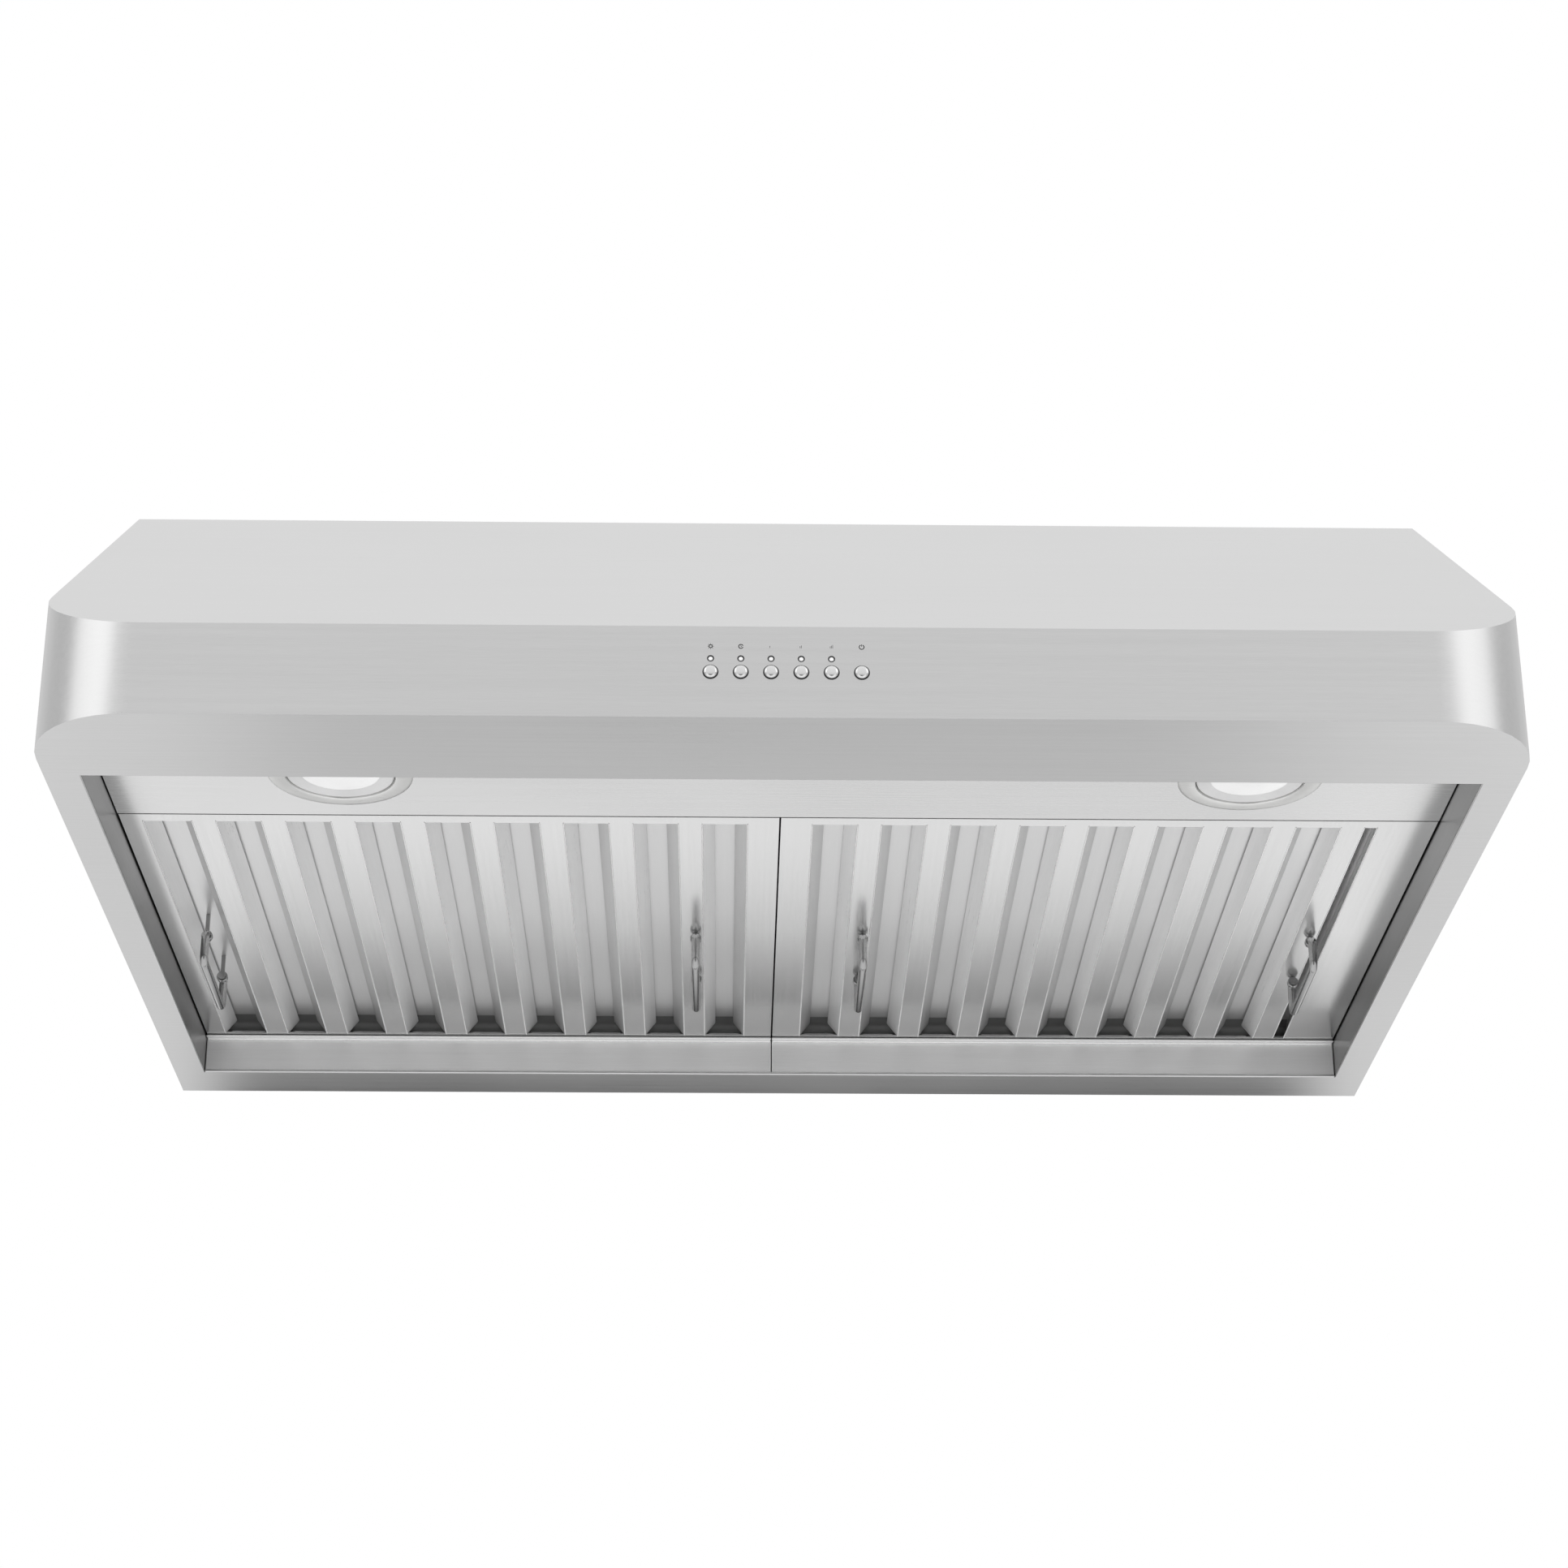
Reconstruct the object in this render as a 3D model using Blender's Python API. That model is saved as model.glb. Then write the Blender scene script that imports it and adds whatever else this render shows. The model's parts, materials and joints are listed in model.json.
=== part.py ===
"""Under cabinet range hood, 30 inch class, built as separate sheet-metal and blower parts.

Frame: metres, +Z up. X = 0 is the middle of the width, Z = 0 is the underside of the hood,
and Y runs from the front (buttons) to the wall. The origin is at the bottom centre of the box.
"""

import math

import bmesh
import bpy
from mathutils import Matrix, Vector

# ---------------------------------------------------------------- driving dimensions
WIDTH = 0.756
DEPTH = 0.572
HEIGHT = 0.252              # underside to cabinet face
TOP_DEPTH = 0.305           # flat top, wall to the start of the slope
BAND_HEIGHT = 0.050         # vertical control band at the front
CORNER_RADIUS = 0.055       # rounded front corners, seen from above
SHEET = 0.0015              # canopy sheet thickness
THIN_SHEET = 0.0012         # inner brackets and panels
GAP = 0.0003                # clearance between touching pieces
BEYOND = 0.05               # how far cutters run past the faces they cut

BUTTON_PROUD = 0.002
BUTTON_RADIUS = 0.0034
BUTTON_PITCH = 0.015
BUTTON_COUNT = 6
BUTTON_HEIGHT = 0.0248      # button centres above the underside
LAMP_HEIGHT = 0.0322        # indicator holes above the underside

SIDE_FLANGE = 0.0185        # bottom rim, side width
FRONT_FLANGE = 0.075        # bottom rim, front width
BACK_FLANGE = 0.036         # bottom rim, back width
RECESS = 0.024              # filters and light panel sit this far above the underside
LIGHT_PANEL_DEPTH = 0.104   # front to back
LIGHT_X = {"left": -0.233, "right": 0.248}
LIGHT_FROM_FRONT = 0.1242
LENS_RADIUS = 0.020

FILTER_THICKNESS = 0.017
FILTER_SHEET = 0.0008
FILTER_CLEARANCE = 0.0010   # between a filter and the side wall of the recess
FILTER_FRONT_GAP = 0.0009   # between the light panel and the filters
SEAM = 0.0010               # between the two filters
SLOT = 0.0252               # open gap between two lower baffle strips
STRIP = 0.0126              # lower baffle strip
SEAM_BORDER = 0.0175        # plain border of a filter beside the seam
SLOT_COUNT = 9
LAST_SLOT_LEFT = 0.027      # the outermost slots differ from the rest
LAST_SLOT_RIGHT = 0.007
LIP_REACH = 0.007           # slot edges are folded up and inwards
LIP_RISE = 0.0092
BAFFLE_RISE = 0.0105        # underside of the upper baffles above the tray

HANDLE_X = (-0.3340, -0.0470, 0.0512, 0.3158)
HANDLE_GRIP = 0.0784
HANDLE_WIRE = 0.0024        # wire radius
HANDLE_DROP = 0.0180        # pivot to grip
LUG_RADIUS = 0.0039

BLOWER_Y = 0.105
BLOWER_Z = 0.146
BLOWER_WIDTH = 0.152
SCROLL_START = 0.072
SCROLL_END = 0.098
TONGUE_ANGLE = 105
IMPELLER_RADIUS = 0.065
BLADE_COUNT = 18

DUCT_RADIUS = 0.0748        # outside of the collar, for a 6 inch (152 mm) round duct
COLLAR_HEIGHT = 0.038       # above the cabinet face
COLLAR_SCREW_ANGLES = (90, 198, 342)
DAMPER_RADIUS = 0.0722

# ---------------------------------------------------------------- derived places
FRONT = -(DEPTH + BUTTON_PROUD) / 2 + BUTTON_PROUD
BACK = FRONT + DEPTH
HALF = WIDTH / 2
SLOPE_TOP = BACK - TOP_DEPTH
SLOPE_RISE = (HEIGHT - BAND_HEIGHT) / (SLOPE_TOP - FRONT)
SLOPE_ANGLE = math.atan(SLOPE_RISE)
RECESS_X = HALF - SIDE_FLANGE
RECESS_FRONT = FRONT + FRONT_FLANGE
RECESS_BACK = BACK - BACK_FLANGE
FILTER_FRONT = RECESS_FRONT + LIGHT_PANEL_DEPTH + FILTER_FRONT_GAP
FILTER_BACK = RECESS_BACK - 0.0025
FILTER_TOP = RECESS + FILTER_THICKNESS
LEDGE_FRONT = RECESS_BACK - 0.005
LIGHT_Y = FRONT + LIGHT_FROM_FRONT
PLATE_UNDER = HEIGHT - SHEET
COLLAR_Y = BLOWER_Y + (SCROLL_END + SCROLL_START * math.cos(math.radians(TONGUE_ANGLE))) / 2
COLLAR_BASE = PLATE_UNDER - GAP      # top of the collar's flange, under the top plate
HANDLE_FRONT = BACK - 0.2252
HANDLE_BACK = HANDLE_FRONT + HANDLE_GRIP
HANDLE_PIVOT_Z = RECESS - 0.0033
DAMPER_PIN_Z = HEIGHT + 0.0145

STEEL = ((0.62, 0.62, 0.62), 0.32, 1.0)
BRIGHT_STEEL = ((0.72, 0.72, 0.72), 0.22, 1.0)
ZINC = ((0.50, 0.52, 0.54), 0.45, 1.0)
BLACK_PLASTIC = ((0.03, 0.03, 0.032), 0.5, 0.0)
GREY_PLASTIC = ((0.35, 0.35, 0.36), 0.55, 0.0)
CLEAR_PLASTIC = ((0.90, 0.91, 0.92), 0.15, 0.0)
BOARD_GREEN = ((0.02, 0.16, 0.07), 0.5, 0.0)


# ---------------------------------------------------------------- modelling helpers
def clear_scene():
    for item in list(bpy.data.objects):
        bpy.data.objects.remove(item, do_unlink=True)


def finish_mesh(name, bm, finish=None, origin=(0.0, 0.0, 0.0), smooth=None):
    """Turn a closed bmesh into a named object whose origin is at origin."""
    bmesh.ops.remove_doubles(bm, verts=bm.verts, dist=1e-7)
    bmesh.ops.recalc_face_normals(bm, faces=bm.faces)
    bmesh.ops.translate(bm, verts=bm.verts, vec=-Vector(origin))
    mesh = bpy.data.meshes.new(name)
    bm.to_mesh(mesh)
    bm.free()
    item = bpy.data.objects.new(name, mesh)
    item.location = origin
    bpy.context.collection.objects.link(item)
    if smooth is not None:
        mesh.shade_smooth()
        mesh.set_sharp_from_angle(angle=math.radians(smooth))
    if finish is not None:
        mesh.materials.append(make_material(name + "_finish", *finish))
    return item


def make_material(name, colour, roughness, metallic):
    material = bpy.data.materials.new(name)
    material.use_nodes = True
    shader = material.node_tree.nodes["Principled BSDF"]
    shader.inputs["Base Color"].default_value = (*colour, 1.0)
    shader.inputs["Roughness"].default_value = roughness
    shader.inputs["Metallic"].default_value = metallic
    return material


def add_prism(bm, outline, low, high, axis="Z"):
    """Add a closed prism: a flat outline carried from low to high along axis.

    The outline holds (x, y) for Z, (y, z) for X and (x, z) for Y.
    """
    place = {
        "X": lambda a, b, t: (t, a, b),
        "Y": lambda a, b, t: (a, t, b),
        "Z": lambda a, b, t: (a, b, t),
    }[axis]
    bottom = [bm.verts.new(place(a, b, low)) for a, b in outline]
    top = [bm.verts.new(place(a, b, high)) for a, b in outline]
    bm.faces.new(bottom)
    bm.faces.new(reversed(top))
    for i in range(len(outline)):
        j = (i + 1) % len(outline)
        bm.faces.new((bottom[i], bottom[j], top[j], top[i]))


def add_box(bm, low, high):
    outline = [(low[0], low[1]), (high[0], low[1]), (high[0], high[1]), (low[0], high[1])]
    add_prism(bm, outline, low[2], high[2])


def add_turned(bm, profile, centre, axis="Z", segments=32, closed=True):
    """Add a turned solid. The profile holds (radius, distance along the axis)."""
    turn = {
        "X": lambda r, h, c, s: (centre[0] + h, centre[1] + r * c, centre[2] + r * s),
        "Y": lambda r, h, c, s: (centre[0] + r * c, centre[1] + h, centre[2] + r * s),
        "Z": lambda r, h, c, s: (centre[0] + r * c, centre[1] + r * s, centre[2] + h),
    }[axis]
    rings = []
    for radius, along in profile:
        if radius < 1e-9:
            rings.append([bm.verts.new(turn(0.0, along, 1.0, 0.0))])
            continue
        ring = []
        for k in range(segments):
            angle = 2 * math.pi * k / segments
            ring.append(bm.verts.new(turn(radius, along, math.cos(angle), math.sin(angle))))
        rings.append(ring)
    pairs = list(zip(rings, rings[1:]))
    if closed:
        pairs.append((rings[-1], rings[0]))
    for one, two in pairs:
        for k in range(segments):
            n = (k + 1) % segments
            if len(one) == 1 and len(two) == 1:
                break
            if len(one) == 1:
                bm.faces.new((one[0], two[k], two[n]))
            elif len(two) == 1:
                bm.faces.new((one[k], one[n], two[0]))
            else:
                bm.faces.new((one[k], one[n], two[n], two[k]))


def add_tube(bm, points, radius, sides=8):
    """Add a capped tube along points, with frames carried from one point to the next."""
    points = [Vector(p) for p in points]
    rings = []
    last = len(points) - 1
    side = None
    for i, point in enumerate(points):
        ahead = (points[min(i + 1, last)] - points[max(i - 1, 0)]).normalized()
        if side is None:
            side = ahead.orthogonal().normalized()
        side = (side - ahead * side.dot(ahead)).normalized()
        up = ahead.cross(side)
        ring = []
        for k in range(sides):
            angle = 2 * math.pi * k / sides
            offset = side * math.cos(angle) + up * math.sin(angle)
            ring.append(bm.verts.new(point + offset * radius))
        rings.append(ring)
    for one, two in zip(rings, rings[1:]):
        for k in range(sides):
            n = (k + 1) % sides
            bm.faces.new((one[k], one[n], two[n], two[k]))
    bm.faces.new(rings[0])
    bm.faces.new(reversed(rings[-1]))


def solid(name, finish, *shapes, origin=(0.0, 0.0, 0.0), smooth=None):
    """Make one object from shapes, each a function that adds to a bmesh."""
    bm = bmesh.new()
    for shape in shapes:
        shape(bm)
    return finish_mesh(name, bm, finish, origin, smooth)


def hide_tool(tool):
    tool.hide_render = True
    tool.display_type = "WIRE"
    return tool


def combine(target, tool, operation):
    hide_tool(tool)
    modifier = target.modifiers.new(operation.lower(), "BOOLEAN")
    modifier.operation = operation
    modifier.solver = "EXACT"
    modifier.object = tool
    return target


def tool_solid(name, *shapes):
    return solid("tool_" + name, None, *shapes)


def cut(target, name, *shapes):
    return combine(target, tool_solid(name, *shapes), "DIFFERENCE")


def fuse(target, name, *shapes):
    return combine(target, tool_solid(name, *shapes), "UNION")


def box(low, high):
    return lambda bm: add_box(bm, low, high)


def prism(outline, low, high, axis="Z"):
    return lambda bm: add_prism(bm, outline, low, high, axis)


def turned(profile, centre, axis="Z", segments=32, closed=True):
    return lambda bm: add_turned(bm, profile, centre, axis, segments, closed)


def tube(points, radius, sides=8):
    return lambda bm: add_tube(bm, points, radius, sides)


def rod(radius, low, high, centre, axis, segments=16):
    profile = [(0.0, low), (radius, low), (radius, high), (0.0, high)]
    return turned(profile, centre, axis, segments, closed=False)


def smooth_route(knots, steps=4):
    """Points on one smooth curve through the knots (Catmull-Rom)."""
    knots = [Vector(k) for k in knots]
    ends = [knots[0] * 2 - knots[1]] + knots + [knots[-1] * 2 - knots[-2]]
    points = []
    for a, b, c, d in zip(ends, ends[1:], ends[2:], ends[3:]):
        for k in range(steps):
            t = k / steps
            bend = 2 * a - 5 * b + 4 * c - d
            twist = 3 * b - a - 3 * c + d
            points.append((2 * b + (c - a) * t + bend * t * t + twist * t * t * t) / 2)
    return points + [knots[-1]]


def arc(centre, radius, start, stop, steps):
    """Points on an arc, angles in degrees."""
    points = []
    for k in range(steps + 1):
        angle = math.radians(start + (stop - start) * k / steps)
        points.append((centre[0] + radius * math.cos(angle), centre[1] + radius * math.sin(angle)))
    return points


# ---------------------------------------------------------------- canopy
def plan_outline(inset, back):
    """Hood outline seen from above, with two rounded front corners."""
    radius = CORNER_RADIUS - inset
    reach = HALF - CORNER_RADIUS
    corner_y = FRONT + CORNER_RADIUS
    left = arc((-reach, corner_y), radius, 180, 270, 10)
    right = arc((reach, corner_y), radius, 270, 360, 10)
    return [(-HALF + inset, back)] + left + right + [(HALF - inset, back)]


def above_slope(lowered):
    """Wedge of space above the sloped front, its plane lowered by a vertical distance."""
    start = FRONT - BEYOND
    stop = SLOPE_TOP + BEYOND + lowered / SLOPE_RISE

    def slope(y):
        return BAND_HEIGHT + (y - FRONT) * SLOPE_RISE - lowered

    outline = [(start, slope(start)), (stop, slope(stop)), (start, slope(stop))]
    return prism(outline, -WIDTH, WIDTH, "X")


def make_canopy():
    canopy = solid("canopy_shell", STEEL, prism(plan_outline(0.0, BACK), 0.0, HEIGHT))
    cut(canopy, "slope", above_slope(0.0))
    hollow = tool_solid("hollow", prism(plan_outline(SHEET, BACK + BEYOND), SHEET, HEIGHT + BEYOND))
    cut(hollow, "inner_slope", above_slope(SHEET / math.cos(SLOPE_ANGLE)))
    combine(canopy, hollow, "DIFFERENCE")
    cut(
        canopy,
        "recess_opening",
        box((-RECESS_X, RECESS_FRONT, -BEYOND), (RECESS_X, RECESS_BACK, SHEET + GAP)),
    )
    holes = []
    for x in button_places():
        holes.append(rod(BUTTON_RADIUS + 0.00035, -0.004, 0.004, (x, FRONT, BUTTON_HEIGHT), "Y"))
    for x in button_places()[:-1]:
        holes.append(rod(0.0015, -0.004, 0.004, (x, FRONT, LAMP_HEIGHT), "Y", 12))
    cut(canopy, "control_holes", *holes)
    return canopy


def make_top_plate():
    tip = SHEET / math.sin(SLOPE_ANGLE)
    front = SLOPE_TOP + tip + 0.0004
    side = HALF - SHEET - GAP
    web = box((-side, front, PLATE_UNDER), (side, BACK, HEIGHT))
    plate = solid("top_plate", STEEL, web)
    drop = PLATE_UNDER - 0.014
    for sign, word in ((-1, "left"), (1, "right")):
        edges = sorted((sign * side, sign * (side - THIN_SHEET)))
        flange = box((edges[0], front + 0.004, drop), (edges[1], BACK - 0.004, HEIGHT - SHEET / 2))
        fuse(plate, "top_flange_" + word, flange)
    holes = [rod(DUCT_RADIUS + GAP, -0.01, 0.01, (0.0, COLLAR_Y, HEIGHT), "Z", 40)]
    holes.append(rod(0.0111, -0.01, 0.01, (GLAND_X, GLAND_Y, HEIGHT), "Z", 24))
    for x, y in collar_screw_places():
        holes.append(rod(0.0018, -0.01, 0.01, (x, y, HEIGHT), "Z", 12))
    cut(plate, "top_holes", *holes)
    return plate


def make_back_plate():
    side = HALF - SHEET - GAP
    low = (-side, BACK - SHEET, SHEET + GAP)
    return solid("back_plate", ZINC, box(low, (side, BACK, PLATE_UNDER - GAP)))


def make_recess_frame():
    """Upright walls on three sides of the recess, with a foot on the bottom rim."""
    back = BACK - SHEET - 0.0012

    def ring(thickness):
        x, y = RECESS_X + thickness, RECESS_FRONT - thickness
        inside = [(RECESS_X, back), (RECESS_X, RECESS_FRONT), (-RECESS_X, RECESS_FRONT), (-RECESS_X, back)]
        return [(-x, back), (-x, y), (x, y), (x, back)] + inside

    foot = SHEET + GAP
    frame = solid("recess_frame", STEEL, prism(ring(THIN_SHEET), foot, 0.060))
    fuse(frame, "recess_foot", prism(ring(0.0130), foot, foot + THIN_SHEET))
    return frame


def make_rear_rails():
    """Two abutting rails: the back wall of the recess, with a lip that carries the filters."""
    foot = SHEET + GAP
    top = RECESS - GAP
    face = RECESS_BACK
    outline = [
        (face, foot),
        (face + 0.024, foot),
        (face + 0.024, foot + THIN_SHEET),
        (face + THIN_SHEET, foot + THIN_SHEET),
        (face + THIN_SHEET, top),
        (LEDGE_FRONT, top),
        (LEDGE_FRONT, top - THIN_SHEET),
        (face, top - THIN_SHEET),
    ]
    reach = RECESS_X - GAP
    solid("rear_rail_left", STEEL, prism(outline, -reach, -GAP, "X"))
    solid("rear_rail_right", STEEL, prism(outline, GAP, reach, "X"))


# ---------------------------------------------------------------- lights
def make_light_panel():
    front = RECESS_FRONT + 0.0004
    back = RECESS_FRONT + LIGHT_PANEL_DEPTH
    top = RECESS + 0.016
    skin = RECESS + THIN_SHEET
    outline = [
        (front, RECESS),
        (back, RECESS),
        (back, top),
        (back - THIN_SHEET, top),
        (back - THIN_SHEET, skin),
        (front + THIN_SHEET, skin),
        (front + THIN_SHEET, top),
        (front, top),
    ]
    reach = RECESS_X - 0.0005
    panel = solid("light_panel", STEEL, prism(outline, -reach, reach, "X"))
    holes = []
    for x in LIGHT_X.values():
        holes.append(rod(0.0306, -0.005, 0.005, (x, LIGHT_Y, RECESS), "Z", 48))
    cut(panel, "light_holes", *holes)


def make_light(word, x):
    centre = (x, LIGHT_Y, RECESS)
    bezel = [
        (0.0290, -0.0018),
        (0.0376, -0.0018),
        (0.0384, -0.0010),
        (0.0384, -GAP),
        (0.0302, -GAP),
        (0.0302, 0.0120),
        (0.0290, 0.0120),
    ]
    solid("light_bezel_" + word, BRIGHT_STEEL, turned(bezel, centre, "Z", 32), smooth=35)
    module = [
        (0.0, 0.0022),
        (LENS_RADIUS + GAP, 0.0022),
        (LENS_RADIUS + GAP, -0.0012),
        (0.0278, -0.0012),
        (0.0284, -0.0006),
        (0.0284, 0.0140),
        (0.0250, 0.0140),
        (0.0250, 0.0165),
        (0.0284, 0.0165),
        (0.0284, 0.0205),
        (0.0, 0.0205),
    ]
    solid("light_module_" + word, GREY_PLASTIC, turned(module, centre, "Z", 24, False), smooth=35)
    lens = [
        (0.0, -0.0017),
        (0.0100, -0.0016),
        (0.0170, -0.0013),
        (LENS_RADIUS, -0.0009),
        (LENS_RADIUS, 0.0018),
        (0.0, 0.0018),
    ]
    solid("light_lens_" + word, CLEAR_PLASTIC, turned(lens, centre, "Z", 20, False), smooth=35)


# ---------------------------------------------------------------- filters
def slot_spans(last_slot):
    """Start and stop of each slot, measured from the seam."""
    spans = []
    start = SEAM_BORDER
    for k in range(SLOT_COUNT):
        width = last_slot if k == SLOT_COUNT - 1 else SLOT
        spans.append((start, start + width))
        start += width + STRIP
    return spans


def filter_pivot():
    return (0.0, LEDGE_FRONT, RECESS)


def make_filter(word, sign, last_slot):
    """Lower tray with slots and sloped slot edges, and the upper baffles over the slots."""
    inner = SEAM / 2
    outer = RECESS_X - FILTER_CLEARANCE
    low, high = RECESS, FILTER_TOP
    skin = FILTER_SHEET
    slot_front = FILTER_FRONT + 0.009
    slot_back = FILTER_BACK - 0.005
    spans = slot_spans(last_slot)

    def span_box(x_one, x_two, y_one, y_two, z_one, z_two):
        edges = sorted((sign * x_one, sign * x_two))
        return box((edges[0], y_one, z_one), (edges[1], y_two, z_two))

    tray = solid(
        "filter_tray_" + word,
        STEEL,
        span_box(inner, outer, FILTER_FRONT, FILTER_BACK, low, high),
        origin=filter_pivot(),
    )
    hollow = span_box(
        inner + skin, outer - skin, FILTER_FRONT + skin, FILTER_BACK - skin, low + skin, high + BEYOND
    )
    cut(tray, "tray_hollow_" + word, hollow)
    rear_low = span_box(
        inner + skin, outer - skin, FILTER_BACK - 2 * skin, FILTER_BACK + BEYOND, low + 0.003, high + BEYOND
    )
    cut(tray, "tray_rear_" + word, rear_low)
    slots = []
    for start, stop in spans:
        slots.append(span_box(start, stop, slot_front, slot_back, low - BEYOND, low + 2 * skin))
    cut(tray, "tray_slots_" + word, *slots)
    lips = []
    for start, stop in spans:
        if stop - start < 2 * LIP_REACH:
            continue
        for edge, inward in ((start, 1), (stop, -1)):
            lip = [
                (sign * (edge - inward * 0.0006), low),
                (sign * (edge + inward * 0.0002), low),
                (sign * (edge + inward * LIP_REACH), low + LIP_RISE - 0.0004),
                (sign * (edge + inward * (LIP_REACH - skin)), low + LIP_RISE),
                (sign * (edge - inward * 0.0006), low + skin),
            ]
            lips.append(prism(lip, slot_front - 0.001, slot_back + 0.001, "Y"))
    fuse(tray, "tray_lips_" + word, *lips)
    leg_low, rail_low = low + 0.0064, low + BAFFLE_RISE
    rail_high = rail_low + skin
    ends = []
    for y_one, y_two in (
        (FILTER_FRONT + skin + GAP, slot_front + 0.002),
        (slot_back - 0.036, slot_back - 0.022),
    ):
        ends.append(span_box(inner + skin + GAP, outer - skin - GAP, y_one, y_two, rail_low, rail_high))
    baffles = solid("filter_baffles_" + word, STEEL, *ends, origin=filter_pivot())
    channels = []
    for start, stop in spans:
        middle = (start + stop) / 2
        half = (stop - start) / 2
        half += 0.0030 if half < LIP_REACH else -0.0026
        section = [
            (sign * (middle - half), leg_low),
            (sign * (middle - half + skin), leg_low),
            (sign * (middle - half + skin), rail_low),
            (sign * (middle + half - skin), rail_low),
            (sign * (middle + half - skin), leg_low),
            (sign * (middle + half), leg_low),
            (sign * (middle + half), rail_high),
            (sign * (middle - half), rail_high),
        ]
        channels.append(prism(section, slot_front - 0.001, FILTER_BACK - 0.001, "Y"))
    fuse(baffles, "baffle_channels_" + word, *channels)


def make_handle_lugs(number, x):
    """Two small bearings just inside the legs of the handle, under a strip or a baffle."""
    top = RECESS - GAP
    if x < -SEAM_BORDER - (SLOT_COUNT - 1) * (SLOT + STRIP):
        top += BAFFLE_RISE
    for word, y in (("front", HANDLE_FRONT + 0.0054), ("rear", HANDLE_BACK - 0.0054)):
        outline = arc((x, HANDLE_PIVOT_Z), LUG_RADIUS, 180, 360, 8)
        outline += [(x + LUG_RADIUS, top), (x - LUG_RADIUS, top)]
        name = "handle_lug_%d_%s" % (number, word)
        lug = solid(name, BRIGHT_STEEL, prism(outline, y - 0.0017, y + 0.0017, "Y"))
        bore = rod(HANDLE_WIRE + GAP, y - 0.01, y + 0.01, (x, 0.0, HANDLE_PIVOT_Z), "Y", 12)
        cut(lug, name + "_bore", bore)


def make_handle(number, x):
    """Wire bail: two inturned ends, two legs and a straight grip."""
    bend = 0.004
    top = HANDLE_PIVOT_Z
    low = top - HANDLE_DROP
    front, back = HANDLE_FRONT, HANDLE_BACK
    top_bend = 0.0028
    half = [(front + 0.0088, top)]
    half += arc((front + top_bend, top - top_bend), top_bend, 90, 180, 3)
    half += arc((front + bend, low + bend), bend, 180, 270, 3)
    middle = (front + back) / 2
    path = half + [(2 * middle - y, z) for y, z in reversed(half)]
    points = [(x, y, z) for y, z in path]
    solid(
        "filter_handle_%d" % number,
        BRIGHT_STEEL,
        tube(points, HANDLE_WIRE, 8),
        origin=(x, middle, HANDLE_PIVOT_Z),
        smooth=40,
    )


# ---------------------------------------------------------------- controls
def button_places():
    first = -BUTTON_PITCH * (BUTTON_COUNT - 1) / 2
    return [first + BUTTON_PITCH * k for k in range(BUTTON_COUNT)]


def make_button(number, x):
    inside = FRONT + SHEET + GAP
    profile = [
        (0.0, FRONT - BUTTON_PROUD),
        (BUTTON_RADIUS * 0.55, FRONT - BUTTON_PROUD * 0.96),
        (BUTTON_RADIUS * 0.86, FRONT - BUTTON_PROUD * 0.80),
        (BUTTON_RADIUS, FRONT - BUTTON_PROUD * 0.45),
        (BUTTON_RADIUS, inside),
        (0.0046, inside),
        (0.0046, inside + 0.0012),
        (0.0022, inside + 0.0012),
        (0.0022, inside + 0.0078),
        (0.0, inside + 0.0078),
    ]
    centre = (x, 0.0, BUTTON_HEIGHT)
    solid(
        "push_button_%d" % number,
        BRIGHT_STEEL,
        turned(profile, centre, "Y", 14, False),
        origin=(x, FRONT, BUTTON_HEIGHT),
        smooth=40,
    )


def make_controls():
    for number, x in enumerate(button_places(), 1):
        make_button(number, x)
    lamps = button_places()[:-1]
    inside = FRONT + SHEET
    bar = box(
        (lamps[0] - 0.003, inside + 0.001, LAMP_HEIGHT - 0.0014),
        (lamps[-1] + 0.003, inside + 0.004, LAMP_HEIGHT + 0.0014),
    )
    pipes = solid("indicator_light_pipe", CLEAR_PLASTIC, bar)
    pins = [rod(0.0012, FRONT + 0.0002, inside + 0.0085, (x, 0.0, LAMP_HEIGHT), "Y", 8) for x in lamps]
    fuse(pipes, "light_pipe_pins", *pins)

    board_front = inside + 0.0135
    panel = box((-0.051, board_front, 0.0125), (0.051, board_front + 0.0016, 0.0435))
    board = solid("control_board", BOARD_GREEN, panel)
    switches = []
    for x in button_places():
        low = (x - 0.003, board_front - 0.0032, BUTTON_HEIGHT - 0.003)
        switches.append(box(low, (x + 0.003, board_front + 0.0008, BUTTON_HEIGHT + 0.003)))
    fuse(board, "tact_switches", *switches)

    cover_front = inside + GAP
    cover_back = board_front + 0.0032
    shell = box((-0.0545, cover_front, 0.0095), (0.0545, cover_back, 0.0465))
    cover = solid("control_housing", BLACK_PLASTIC, shell)
    space = box((-0.0530, cover_front - BEYOND, 0.0110), (0.0530, cover_back - SHEET, 0.0450))
    cut(cover, "control_hollow", space)


# ---------------------------------------------------------------- blower
def scroll_outline(inset, top):
    """Volute in Y and Z: it opens from the tongue, round the bottom, to the rear of the outlet."""
    points = []
    steps = 17
    for k in range(steps + 1):
        turn = k / steps
        angle = math.radians(TONGUE_ANGLE + (360 - TONGUE_ANGLE) * turn)
        radius = SCROLL_START + (SCROLL_END - SCROLL_START) * turn - inset
        points.append((BLOWER_Y + radius * math.cos(angle), BLOWER_Z + radius * math.sin(angle)))
    tongue = BLOWER_Y + SCROLL_START * math.cos(math.radians(TONGUE_ANGLE)) + inset
    points[0] = (tongue, points[0][1])
    return points + [(BLOWER_Y + SCROLL_END - inset, top), (tongue, top)]


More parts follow.
